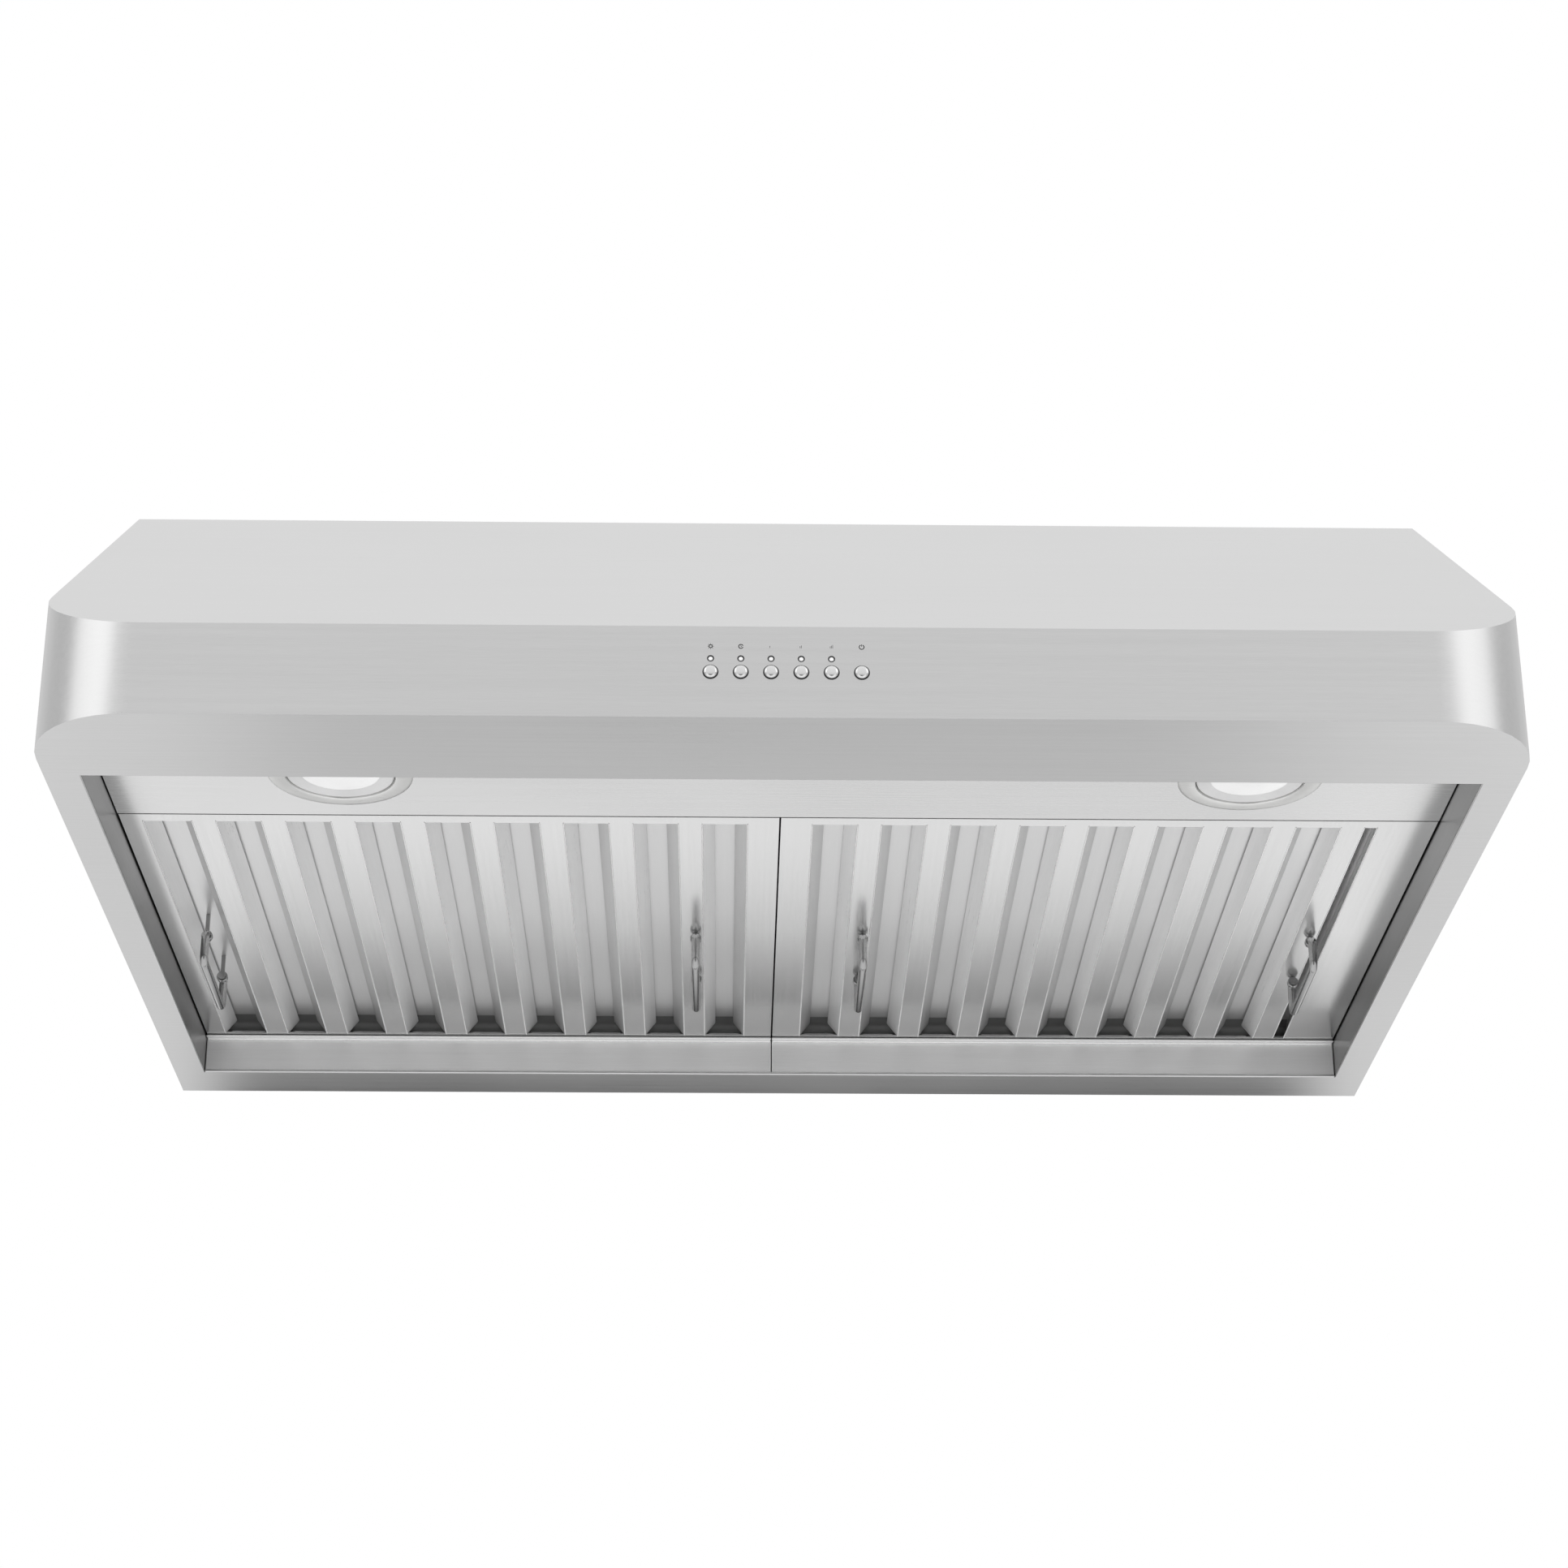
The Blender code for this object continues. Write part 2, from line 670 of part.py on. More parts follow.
def make_blower_housing():
    half = BLOWER_WIDTH / 2
    top = COLLAR_BASE - THIN_SHEET - GAP
    housing = solid("blower_housing", ZINC, prism(scroll_outline(0.0, top), -half, half, "X"))
    inner = prism(scroll_outline(THIN_SHEET, top + BEYOND), -half + THIN_SHEET, half - THIN_SHEET, "X")
    cut(housing, "blower_hollow", inner)
    inlets = rod(0.0560, -WIDTH / 2, WIDTH / 2, (0.0, BLOWER_Y, BLOWER_Z), "X", 32)
    cut(housing, "blower_inlets", inlets)


def make_impeller():
    """Double-inlet wheel: a centre disc, two end rings and straight slanted blades."""
    centre = (0.0, BLOWER_Y, BLOWER_Z)
    disc = [
        (0.0044, -0.0075),
        (0.0100, -0.0075),
        (0.0100, -0.00075),
        (0.0635, -0.00075),
        (0.0635, 0.00075),
        (0.0100, 0.00075),
        (0.0100, 0.0075),
        (0.0044, 0.0075),
    ]
    wheel = solid("blower_impeller", ZINC, turned(disc, centre, "X", 24), origin=centre)
    rings = []
    for low, high in ((-0.0660, -0.0635), (0.0635, 0.0660)):
        ring = [(0.0545, low), (IMPELLER_RADIUS, low), (IMPELLER_RADIUS, high), (0.0545, high)]
        rings.append(turned(ring, centre, "X", 24))
    blades = []
    for k in range(BLADE_COUNT):
        angle = 2 * math.pi * k / BLADE_COUNT
        outline = []
        for radius, lead in ((0.0535, 0.0), (0.0638, 0.14), (0.0638, 0.156), (0.0535, 0.019)):
            place = angle + lead
            outline.append((BLOWER_Y + radius * math.cos(place), BLOWER_Z + radius * math.sin(place)))
        blades.append(prism(outline, -0.0648, 0.0648, "X"))
    fuse(wheel, "impeller_blades", *blades)
    fuse(wheel, "impeller_rings", *rings)


def make_motor():
    centre = (0.0, BLOWER_Y, BLOWER_Z)
    rear = -BLOWER_WIDTH / 2
    nose = -0.0150
    can = [
        (0.0, rear),
        (0.0320, rear),
        (0.0330, rear + 0.001),
        (0.0330, rear + 0.014),
        (0.0400, rear + 0.016),
        (0.0400, nose - 0.012),
        (0.0330, nose - 0.010),
        (0.0310, nose),
        (0.0046, nose),
        (0.0046, nose - 0.030),
        (0.0, nose - 0.030),
    ]
    solid("blower_motor", ZINC, turned(can, centre, "X", 24, False), smooth=35)
    shaft = rod(0.0040, nose - 0.028, 0.0095, centre, "X", 16)
    solid("motor_shaft", BRIGHT_STEEL, shaft, origin=centre, smooth=40)

    face = rear - GAP
    plate = [(0.0, face - THIN_SHEET), (0.0250, face - THIN_SHEET), (0.0250, face), (0.0, face)]
    bracket = solid("motor_bracket", ZINC, turned(plate, centre, "X", 24, False))
    arms = []
    for angle in (90, 210, 330):
        across = Vector((math.cos(math.radians(angle)), math.sin(math.radians(angle))))
        side = Vector((-across.y, across.x)) * 0.006
        hub = Vector((BLOWER_Y, BLOWER_Z))
        corners = [hub + across * 0.010 + side, hub + across * 0.066 + side]
        corners += [hub + across * 0.066 - side, hub + across * 0.010 - side]
        arms.append(prism([tuple(c) for c in corners], face - THIN_SHEET, face, "X"))
    for number, arm in enumerate(arms, 1):
        fuse(bracket, "bracket_arm_%d" % number, arm)
    ring = [(0.0580, face - THIN_SHEET), (0.0700, face - THIN_SHEET), (0.0700, face), (0.0580, face)]
    fuse(bracket, "bracket_ring", turned(ring, centre, "X", 32))


# ---------------------------------------------------------------- duct collar and damper
def collar_screw_places():
    radius = 0.0850
    return [
        (radius * math.cos(math.radians(a)), COLLAR_Y + radius * math.sin(math.radians(a)))
        for a in COLLAR_SCREW_ANGLES
    ]


def make_collar():
    inner = DUCT_RADIUS - 0.0013
    top = HEIGHT + COLLAR_HEIGHT
    seat = HEIGHT + 0.0110
    profile = [
        (inner, COLLAR_BASE - THIN_SHEET),
        (0.0900, COLLAR_BASE - THIN_SHEET),
        (0.0900, COLLAR_BASE),
        (DUCT_RADIUS, COLLAR_BASE),
        (DUCT_RADIUS, top),
        (inner, top),
        (inner, seat + THIN_SHEET),
        (0.0700, seat + THIN_SHEET),
        (0.0700, seat),
        (inner, seat),
    ]
    collar = solid("duct_collar", ZINC, turned(profile, (0.0, COLLAR_Y, 0.0), "Z", 40), smooth=35)
    holes = []
    for x, y in collar_screw_places():
        holes.append(rod(0.0018, COLLAR_BASE - 0.01, COLLAR_BASE + 0.01, (x, y, 0.0), "Z", 12))
    cut(collar, "collar_holes", *holes)
    head_top = COLLAR_BASE - THIN_SHEET - GAP
    for number, (x, y) in enumerate(collar_screw_places(), 1):
        screw = [
            (0.0, HEIGHT - GAP),
            (0.0015, HEIGHT - GAP),
            (0.0015, head_top),
            (0.0036, head_top),
            (0.0034, head_top - 0.0012),
            (0.0022, head_top - 0.0021),
            (0.0, head_top - 0.0023),
        ]
        solid("collar_screw_%d" % number, ZINC, turned(screw, (x, y, 0.0), "Z", 12, False), smooth=40)
    return collar


def make_damper():
    """Two half-round flaps on one pin across the collar; they rest on the seat in it."""
    pin_centre = (0.0, COLLAR_Y, DAMPER_PIN_Z)
    solid("damper_pin", ZINC, rod(0.0015, -0.0731, 0.0731, pin_centre, "X", 12), smooth=40)
    plate_low = HEIGHT + 0.0110 + THIN_SHEET + GAP
    plate_high = plate_low + 0.0008
    clear = 0.0036
    knuckles = {
        "front": (-1, ((-0.0670, -0.0340), (0.0004, 0.0334))),
        "rear": (1, ((-0.0334, -0.0004), (0.0340, 0.0670))),
    }
    for word, (sign, spans) in knuckles.items():
        start = math.degrees(math.asin(clear / DAMPER_RADIUS))
        rim = arc((0.0, 0.0), DAMPER_RADIUS, start, 180 - start, 18)
        outline = [(x, COLLAR_Y + sign * y) for x, y in rim]
        flap = solid(
            "damper_flap_" + word,
            ZINC,
            prism(outline, plate_low, plate_high),
            origin=pin_centre,
        )
        for number, (low, high) in enumerate(spans, 1):
            ring = [(0.0019, low), (0.0030, low), (0.0030, high), (0.0019, high)]
            edges = sorted((COLLAR_Y + sign * 0.0022, COLLAR_Y + sign * (clear + 0.002)))
            tab = box((low, edges[0], plate_low), (high, edges[1], plate_high))
            fuse(flap, "flap_tab_%s_%d" % (word, number), tab)
            fuse(flap, "knuckle_%s_%d" % (word, number), turned(ring, pin_centre, "X", 16))


# ---------------------------------------------------------------- wiring boxes
GLAND_X = 0.255
GLAND_Y = 0.165


def make_wiring():
    top = PLATE_UNDER - GAP
    low_x, high_x = GLAND_X - 0.050, GLAND_X + 0.050
    low_y, high_y = GLAND_Y - 0.040, GLAND_Y + 0.040
    low_z = top - 0.042
    wall = THIN_SHEET
    junction = solid("junction_box", ZINC, box((low_x, low_y, low_z), (high_x, high_y, top)))
    cut(
        junction,
        "junction_hollow",
        box((low_x + wall, low_y + wall, low_z - BEYOND), (high_x - wall, high_y - wall, top - wall)),
    )
    cut(junction, "junction_entry", rod(0.0111, -0.01, 0.01, (GLAND_X, GLAND_Y, top), "Z", 24))
    cover_top = low_z - GAP
    solid(
        "junction_box_cover",
        ZINC,
        box((low_x - 0.003, low_y - 0.003, cover_top - wall), (high_x + 0.003, high_y + 0.003, cover_top)),
    )
    flange = top - wall - GAP
    gland = [
        (0.0060, flange - 0.0100),
        (0.0125, flange - 0.0100),
        (0.0150, flange - 0.0040),
        (0.0150, flange),
        (0.0106, flange),
        (0.0106, HEIGHT + 0.0110),
        (0.0088, HEIGHT + 0.0140),
        (0.0060, HEIGHT + 0.0140),
    ]
    solid("cable_gland", BLACK_PLASTIC, turned(gland, (GLAND_X, GLAND_Y, 0.0), "Z", 16), smooth=30)

    wall_face = BACK - SHEET - GAP
    driver = box((-0.300, wall_face - 0.024, 0.140), (-0.195, wall_face, 0.190))
    solid("light_driver", GREY_PLASTIC, driver)
    can = [(0.0, -0.030), (0.0150, -0.030), (0.0165, -0.028), (0.0165, 0.026), (0.0140, 0.030), (0.0, 0.030)]
    centre = (0.150, wall_face - 0.0175, 0.180)
    solid("run_capacitor", GREY_PLASTIC, turned(can, centre, "X", 20, False), smooth=40)


def make_cable(name, radius, knots):
    solid(name, BLACK_PLASTIC, tube(smooth_route(knots), radius, 6), smooth=70)


def make_cables():
    """Fixed inner wiring, clear of the blower and of the filters' swing."""
    box_left = GLAND_X - 0.050 - GAP
    box_right = GLAND_X + 0.050 + GAP
    housing_back = FRONT + SHEET + 0.0135 + 0.0032 + GAP
    make_cable(
        "control_cable",
        0.0024,
        [
            (0.030, housing_back, 0.030),
            (0.030, housing_back + 0.006, 0.030),
            (0.038, housing_back + 0.014, 0.030),
            (0.070, -0.246, 0.031),
            (0.200, -0.243, 0.033),
            (0.300, -0.238, 0.040),
            (0.340, -0.205, 0.075),
            (0.348, -0.110, 0.130),
            (0.346, 0.000, 0.180),
            (0.336, 0.090, 0.212),
            (0.324, 0.132, 0.226),
            (box_right + 0.008, 0.145, 0.229),
            (box_right, 0.145, 0.229),
        ],
    )
    can_rear = -BLOWER_WIDTH / 2 - GAP
    make_cable(
        "motor_cable",
        0.0022,
        [
            (can_rear, BLOWER_Y, BLOWER_Z - 0.0283),
            (can_rear - 0.008, BLOWER_Y, BLOWER_Z - 0.0283),
            (can_rear - 0.016, 0.102, 0.122),
            (-0.099, 0.090, 0.142),
            (-0.098, 0.066, 0.200),
            (-0.075, 0.058, 0.232),
            (0.000, 0.058, 0.238),
            (0.100, 0.078, 0.236),
            (0.170, 0.130, 0.231),
            (0.196, 0.146, 0.229),
            (box_left, 0.147, 0.229),
        ],
    )
    lamp_top = RECESS + 0.0205 + GAP
    driver_left = -0.300 - GAP
    make_cable(
        "light_cable_left",
        0.0018,
        [
            (LIGHT_X["left"], LIGHT_Y, lamp_top),
            (LIGHT_X["left"], LIGHT_Y, lamp_top + 0.010),
            (-0.250, -0.150, lamp_top + 0.022),
            (-0.275, -0.130, 0.080),
            (-0.325, -0.060, 0.100),
            (-0.338, 0.060, 0.120),
            (-0.338, 0.180, 0.140),
            (-0.325, 0.240, 0.150),
            (driver_left, 0.255, 0.152),
        ],
    )
    make_cable(
        "light_cable_right",
        0.0018,
        [
            (LIGHT_X["right"], LIGHT_Y, lamp_top),
            (LIGHT_X["right"], LIGHT_Y, lamp_top + 0.010),
            (0.230, -0.152, lamp_top + 0.022),
            (0.190, -0.140, 0.080),
            (0.000, -0.130, 0.095),
            (-0.200, -0.110, 0.105),
            (-0.310, -0.040, 0.125),
            (-0.350, 0.060, 0.145),
            (-0.348, 0.180, 0.168),
            (-0.328, 0.242, 0.178),
            (driver_left, 0.255, 0.178),
        ],
    )
    make_cable(
        "supply_cable",
        0.0024,
        [
            (-0.195 + GAP, 0.262, 0.165),
            (-0.180, 0.262, 0.168),
            (-0.100, 0.266, 0.205),
            (0.000, 0.266, 0.226),
            (0.090, 0.252, 0.234),
            (0.160, 0.212, 0.231),
            (0.194, 0.185, 0.229),
            (box_left, 0.183, 0.229),
        ],
    )


def main():
    clear_scene()
    make_canopy()
    make_top_plate()
    make_back_plate()
    make_recess_frame()
    make_rear_rails()
    make_light_panel()
    for word, x in LIGHT_X.items():
        make_light(word, x)
    make_filter("left", -1, LAST_SLOT_LEFT)
    make_filter("right", 1, LAST_SLOT_RIGHT)
    for number, x in enumerate(HANDLE_X, 1):
        make_handle(number, x)
        make_handle_lugs(number, x)
    make_controls()
    make_blower_housing()
    make_impeller()
    make_motor()
    make_collar()
    make_damper()
    make_wiring()
    make_cables()


main()
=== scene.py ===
"""Finished look of the under cabinet range hood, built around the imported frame. Metres, +Z up."""

import json
import math

import bmesh
import bpy
from mathutils import Matrix, Vector


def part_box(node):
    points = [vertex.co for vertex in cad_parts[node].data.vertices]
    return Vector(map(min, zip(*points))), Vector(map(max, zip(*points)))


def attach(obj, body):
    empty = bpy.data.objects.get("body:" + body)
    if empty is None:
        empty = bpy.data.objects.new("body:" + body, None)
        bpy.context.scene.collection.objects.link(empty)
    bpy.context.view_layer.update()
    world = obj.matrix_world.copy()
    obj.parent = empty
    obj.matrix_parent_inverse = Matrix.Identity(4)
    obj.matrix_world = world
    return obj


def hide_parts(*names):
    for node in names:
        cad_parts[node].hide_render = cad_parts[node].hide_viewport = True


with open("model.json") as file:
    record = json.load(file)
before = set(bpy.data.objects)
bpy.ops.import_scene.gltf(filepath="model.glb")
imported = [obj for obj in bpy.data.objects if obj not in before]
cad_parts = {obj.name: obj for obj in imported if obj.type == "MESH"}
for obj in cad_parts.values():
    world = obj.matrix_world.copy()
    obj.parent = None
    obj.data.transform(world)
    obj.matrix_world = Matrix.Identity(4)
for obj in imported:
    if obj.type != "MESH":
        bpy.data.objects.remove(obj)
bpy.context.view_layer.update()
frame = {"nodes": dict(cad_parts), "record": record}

NODES = frame["nodes"]
HOOD = "hood"              # the fixed body
WIRE_BORE = 0.0025         # radius of the hole in a handle's lug
RAIL_FOOT = 0.024          # how far the foot of the rear rails comes forward
SLOT_FRONT_INSET = 0.009   # from the front edge of a filter tray to its slots
SLOT_BACK_INSET = 0.005    # from the rear edge of a filter tray to its slots
TURN_SIDES = 96            # sides of a large turned part

GRAIN_STRETCH = 0.012      # how much brushing draws the grain out
FINE_GRAIN = 5200.0
BROAD_GRAIN = 420.0
WIPE_SIZE = 5.0
# Painted shade on the filter steels: near-black, mixed in more towards the rear wall.
REAR_SHADE_COLOUR = (0.03, 0.03, 0.03)
REAR_PAINTED_SHADE = {"start": 0.06, "stop": 0.24, "share": 0.34}   # painted shade: darkens the filter steels along Y, towards the rear wall
LENS_GLOW = 0.16


# ---------------------------------------------------------------- node material helpers
class Shader:
    """One Principled material with small helpers for its node tree."""

    def __init__(self, name, colour, roughness, metallic):
        self.material = bpy.data.materials.new(name)
        self.material.use_nodes = True
        self.tree = self.material.node_tree
        self.tree.nodes.clear()
        self.output = self.tree.nodes.new("ShaderNodeOutputMaterial")
        self.surface = self.tree.nodes.new("ShaderNodeBsdfPrincipled")
        self.tree.links.new(self.surface.outputs["BSDF"], self.output.inputs["Surface"])
        self.surface.inputs["Base Color"].default_value = (*colour, 1.0)
        self.surface.inputs["Roughness"].default_value = roughness
        self.surface.inputs["Metallic"].default_value = metallic
        self.place = self.tree.nodes.new("ShaderNodeTexCoord").outputs["Object"]

    def node(self, kind, **inputs):
        made = self.tree.nodes.new("ShaderNode" + kind)
        for key, value in inputs.items():
            self.put(made.inputs[key.replace("_", " ")], value)
        return made

    def put(self, socket, value):
        if isinstance(value, bpy.types.NodeSocket):
            self.tree.links.new(value, socket)
        else:
            socket.default_value = value

    def noise(self, scale, detail=3.0, rough=0.55, stretch=(1.0, 1.0, 1.0)):
        """Noise over the object's own coordinates, stretched along any axis."""
        mapping = self.node("Mapping", Vector=self.place)
        mapping.inputs["Scale"].default_value = stretch
        made = self.node("TexNoise", Vector=mapping.outputs["Vector"], Scale=scale)
        made.inputs["Detail"].default_value = detail
        made.inputs["Roughness"].default_value = rough
        return made.outputs["Fac"]

    def ramp(self, value, low, high, out_low=0.0, out_high=1.0):
        made = self.node("MapRange", Value=value)
        made.inputs["From Min"].default_value = low
        made.inputs["From Max"].default_value = high
        made.inputs["To Min"].default_value = out_low
        made.inputs["To Max"].default_value = out_high
        return made.outputs["Result"]

    def math(self, operation, one, two):
        made = self.tree.nodes.new("ShaderNodeMath")
        made.operation = operation
        self.put(made.inputs[0], one)
        self.put(made.inputs[1], two)
        return made.outputs[0]

    def mix(self, factor, one, two):
        made = self.tree.nodes.new("ShaderNodeMix")
        made.data_type = "RGBA"
        self.put(made.inputs[0], factor)
        for socket, value in ((made.inputs[6], one), (made.inputs[7], two)):
            self.put(socket, value if isinstance(value, bpy.types.NodeSocket) else (*value, 1.0))
        return made.outputs[2]

    def set(self, socket, value):
        self.put(self.surface.inputs[socket], value)

    def blend(self, one, two, share):
        """Weighted sum, with share of the first value."""
        first = self.math("MULTIPLY", one, share)
        return self.math("ADD", first, self.math("MULTIPLY", two, round(1.0 - share, 6)))

    def bump(self, height, distance, strength):
        made = self.node("Bump", Height=height, Distance=distance, Strength=strength)
        self.set("Normal", made.outputs["Normal"])


def grey(level):
    return (level, level, level)


def scaled(colour, factor):
    return tuple(c * factor for c in colour)


def brushed_metal(name, colour, roughness, grain, depth=0.000004, tone=0.05, spread=0.08,
                  metallic=1.0, rear_shade=None):
    """Satin sheet metal with a fine grain along one axis, soft rolling marks and a few wipes.

    An optional painted shade darkens it along Y, towards the rear.
    """
    shader = Shader(name, colour, roughness, metallic)
    along = tuple(GRAIN_STRETCH if axis == grain else 1.0 for axis in "XYZ")
    fine = shader.noise(FINE_GRAIN, 2.0, 0.6, along)
    broad = shader.noise(BROAD_GRAIN, 3.0, 0.55, along)
    cloud = shader.noise(WIPE_SIZE, 2.0, 0.5)
    lines = shader.blend(fine, broad, 0.6)
    factor = shader.ramp(shader.blend(lines, cloud, 0.8), 0.35, 0.65)
    light = tuple(min(1.0, c) for c in scaled(colour, 1.0 + tone))
    tint = shader.mix(factor, scaled(colour, 1.0 - tone), light)
    # Painted shade: the tint is mixed towards near-black along Y, more towards the rear wall.
    if rear_shade is not None:
        split = shader.node("SeparateXYZ", Vector=shader.place)
        cover = shader.ramp(split.outputs["Y"], rear_shade["start"], rear_shade["stop"], 0.0, rear_shade["share"])
        tint = shader.mix(cover, tint, REAR_SHADE_COLOUR)
    shader.set("Base Color", tint)
    wiped = shader.blend(lines, cloud, 0.6)
    shader.set("Roughness", shader.ramp(wiped, 0.3, 0.7, roughness - spread, roughness + spread))
    shader.bump(lines, depth, 0.6)
    return shader.material


def smooth_metal(name, colour, roughness):
    """Turned, drawn or plated metal: faint streaks, small tone changes and handling marks."""
    shader = Shader(name, colour, roughness, 1.0)
    streak = shader.noise(900.0, 3.0, 0.6, (0.1, 1.0, 1.0))
    cloud = shader.noise(60.0, 4.0, 0.6)
    factor = shader.ramp(cloud, 0.3, 0.7)
    shader.set("Base Color", shader.mix(factor, scaled(colour, 0.94), colour))
    shader.set("Roughness", shader.ramp(streak, 0.3, 0.7, roughness * 0.75, roughness * 1.3))
    shader.bump(streak, 0.000002, 0.5)
    return shader.material


def galvanised(name, colour, roughness):
    """Zinc-coated sheet with its crystal spangle."""
    shader = Shader(name, colour, roughness, 1.0)
    cells = shader.tree.nodes.new("ShaderNodeTexVoronoi")
    shader.put(cells.inputs["Vector"], shader.place)
    cells.inputs["Scale"].default_value = 95.0
    grain = shader.node("SeparateColor", Color=cells.outputs["Color"]).outputs[0]
    cloud = shader.noise(30.0, 4.0, 0.6)
    mixed = shader.blend(grain, cloud, 0.6)
    shader.set("Base Color", shader.mix(mixed, scaled(colour, 0.80), scaled(colour, 1.12)))
    shader.set("Roughness", shader.ramp(mixed, 0.0, 1.0, roughness - 0.10, roughness + 0.12))
    shader.bump(cloud, 0.00001, 0.5)
    return shader.material


def moulded_plastic(name, colour, roughness):
    """Moulded plastic with a fine spark-eroded texture."""
    shader = Shader(name, colour, roughness, 0.0)
    pores = shader.noise(2600.0, 3.0, 0.7)
    cloud = shader.noise(40.0, 3.0, 0.5)
    shader.set("Base Color", shader.mix(cloud, scaled(colour, 0.85), scaled(colour, 1.15)))
    shader.set("Roughness", shader.ramp(pores, 0.3, 0.7, roughness - 0.07, roughness + 0.07))
    shader.bump(pores, 0.00002, 0.7)
    return shader.material


STEEL = brushed_metal("brushed_steel", grey(0.66), 0.33, "X")
PANEL = brushed_metal("lamp_panel_steel", grey(0.80), 0.25, "X")
# Darker grey than the shell steel: painted shade on the recess walls.
WALL = brushed_metal("recess_wall_painted_shade", grey(0.30), 0.34, "Y")
STEEL_DEEP = brushed_metal("filter_steel", grey(0.82), 0.20, "Y",
                           spread=0.04, metallic=0.85, rear_shade=REAR_PAINTED_SHADE)
# LIP and LIP_SHADED are a lit and a shaded copy of one lip steel: painted light and painted shade, given
# by which way each lip faces.
LIP = brushed_metal("slot_lip_steel", grey(0.95), 0.30, "Y",
                    spread=0.04, metallic=0.35, rear_shade=REAR_PAINTED_SHADE)
LIP_SHADED = brushed_metal("slot_lip_steel_painted_shade", grey(0.70), 0.34, "Y",
                           spread=0.04, metallic=0.60, rear_shade=REAR_PAINTED_SHADE)
BAFFLE = brushed_metal("baffle_steel", grey(0.84), 0.30, "Y", depth=0.0000002, tone=0.02,
                       spread=0.01, metallic=0.65, rear_shade=REAR_PAINTED_SHADE)
# Dark steel for the strip at the slots' rear ends: painted shade.
SLOT_END_SHADE = brushed_metal("slot_end_painted_shade", grey(0.24), 0.50, "X", metallic=0.3)
# Bright steel on the rounded fold edges and the slot beads: a painted highlight along the edges.
EDGE = brushed_metal("fold_painted_highlight", grey(0.96), 0.24, "Y", spread=0.03, metallic=0.70)
RAIL = brushed_metal("rail_steel", grey(0.96), 0.36, "X", spread=0.03, metallic=0.5)
WIRE = smooth_metal("bright_wire", grey(0.42), 0.20)
BUTTON = smooth_metal("button_metal", grey(0.80), 0.24)
TRIM = smooth_metal("lamp_trim", (0.78, 0.78, 0.77), 0.36)
ZINC = galvanised("zinc_sheet", (0.56, 0.57, 0.58), 0.38)
HARDWARE = smooth_metal("zinc_hardware", (0.62, 0.62, 0.63), 0.28)
MOTOR = smooth_metal("motor_metal", (0.36, 0.37, 0.39), 0.42)
WHEEL = smooth_metal("wheel_aluminium", (0.64, 0.65, 0.66), 0.38)
BLACK = moulded_plastic("black_plastic", (0.028, 0.028, 0.030), 0.48)
GREY = moulded_plastic("grey_plastic", (0.36, 0.36, 0.37), 0.52)
LAMP = moulded_plastic("lamp_body", grey(0.88), 0.40)
BOARD = moulded_plastic("circuit_board", (0.02, 0.15, 0.07), 0.45)
LENS = moulded_plastic("lamp_lens", grey(0.98), 0.30)
lens_surface = LENS.node_tree.nodes["Principled BSDF"].inputs
lens_surface["Emission Color"].default_value = (1.0, 1.0, 1.0, 1.0)
lens_surface["Emission Strength"].default_value = LENS_GLOW
PRINT = moulded_plastic("printed_mark", (0.08, 0.08, 0.09), 0.50)
CABLE = moulded_plastic("cable_jacket", (0.04, 0.04, 0.045), 0.55)

SLOT_MATERIAL = {
    "brushed_steel": STEEL,
    "rail_steel": RAIL,
    "filter_steel": STEEL_DEEP,
    "handle_wire": WIRE,
    "button_metal": BUTTON,
    "light_trim": TRIM,
    "light_body": LAMP,
    "light_lens": LENS,
    "zinc_sheet": ZINC,
    "zinc_hardware": HARDWARE,
    "motor_metal": MOTOR,
    "shaft_steel": HARDWARE,
    "wheel_aluminium": WHEEL,
    "black_plastic": BLACK,
    "grey_plastic": GREY,
    "circuit_board": BOARD,
    "cable_jacket": CABLE,
}

OWN_MATERIAL = {
    "light_panel": PANEL,
    "recess_frame": WALL,
    "filter_baffles_left": BAFFLE,
    "filter_baffles_right": BAFFLE,
}
# Fold edges that get the painted-highlight steel.
FOLD_EDGE = {
    "filter_tray_left": EDGE,
    "filter_tray_right": EDGE,
    "rear_rail_left": EDGE,
    "rear_rail_right": EDGE,
}
SLOT_OF = {row["node"]: row["material_slot"] for row in frame["record"]["subparts"]}
BODIES = frame["record"]["behaviour"]["bodies"]
BODY_OF = {node: body for body, nodes in BODIES.items() for node in nodes}


def finish_of(node):
    return OWN_MATERIAL.get(node, SLOT_MATERIAL[SLOT_OF[node]])


for name in SLOT_OF:
    NODES[name].data.materials.clear()
    NODES[name].data.materials.append(finish_of(name))


# ---------------------------------------------------------------- pieces built around the CAD nodes
FOLD_ANGLE = 30.0          # sharper edges than this are rounded
NORMAL_WEIGHT = 50
MERGE_DISTANCE = 1e-6
FLAT_ANGLE = 0.5           # faces closer than this to one plane are one face
ARC_STEPS = 6
LIP_SLOPE = 0.3            # least share of down and of sideways in a folded lip's normal
LIP_INDEX, LIP_SHADED_INDEX = 2, 3


def place_piece(piece, node):
    """Put a finished piece in the scene for its CAD node."""
    bpy.context.scene.collection.objects.link(piece)
    if not piece.data.materials:
        piece.data.materials.append(finish_of(node))
    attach(piece, BODY_OF[node])
    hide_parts(node)


def soften(piece, width, segments, edge):
    """Round the folds and cut edges of a sheet or a turned part; the rounded edges get a
    painted-highlight material where one is given.
    """
    piece.data.shade_smooth()
    bevel = piece.modifiers.new("edges", "BEVEL")
    bevel.width = width
    bevel.segments = segments
    bevel.limit_method = "ANGLE"
    bevel.angle_limit = math.radians(FOLD_ANGLE)
    if edge is not None:
        bevel.material = len(piece.data.materials)
        piece.data.materials.append(edge)
    piece.modifiers.new("normals", "WEIGHTED_NORMAL").weight = NORMAL_WEIGHT


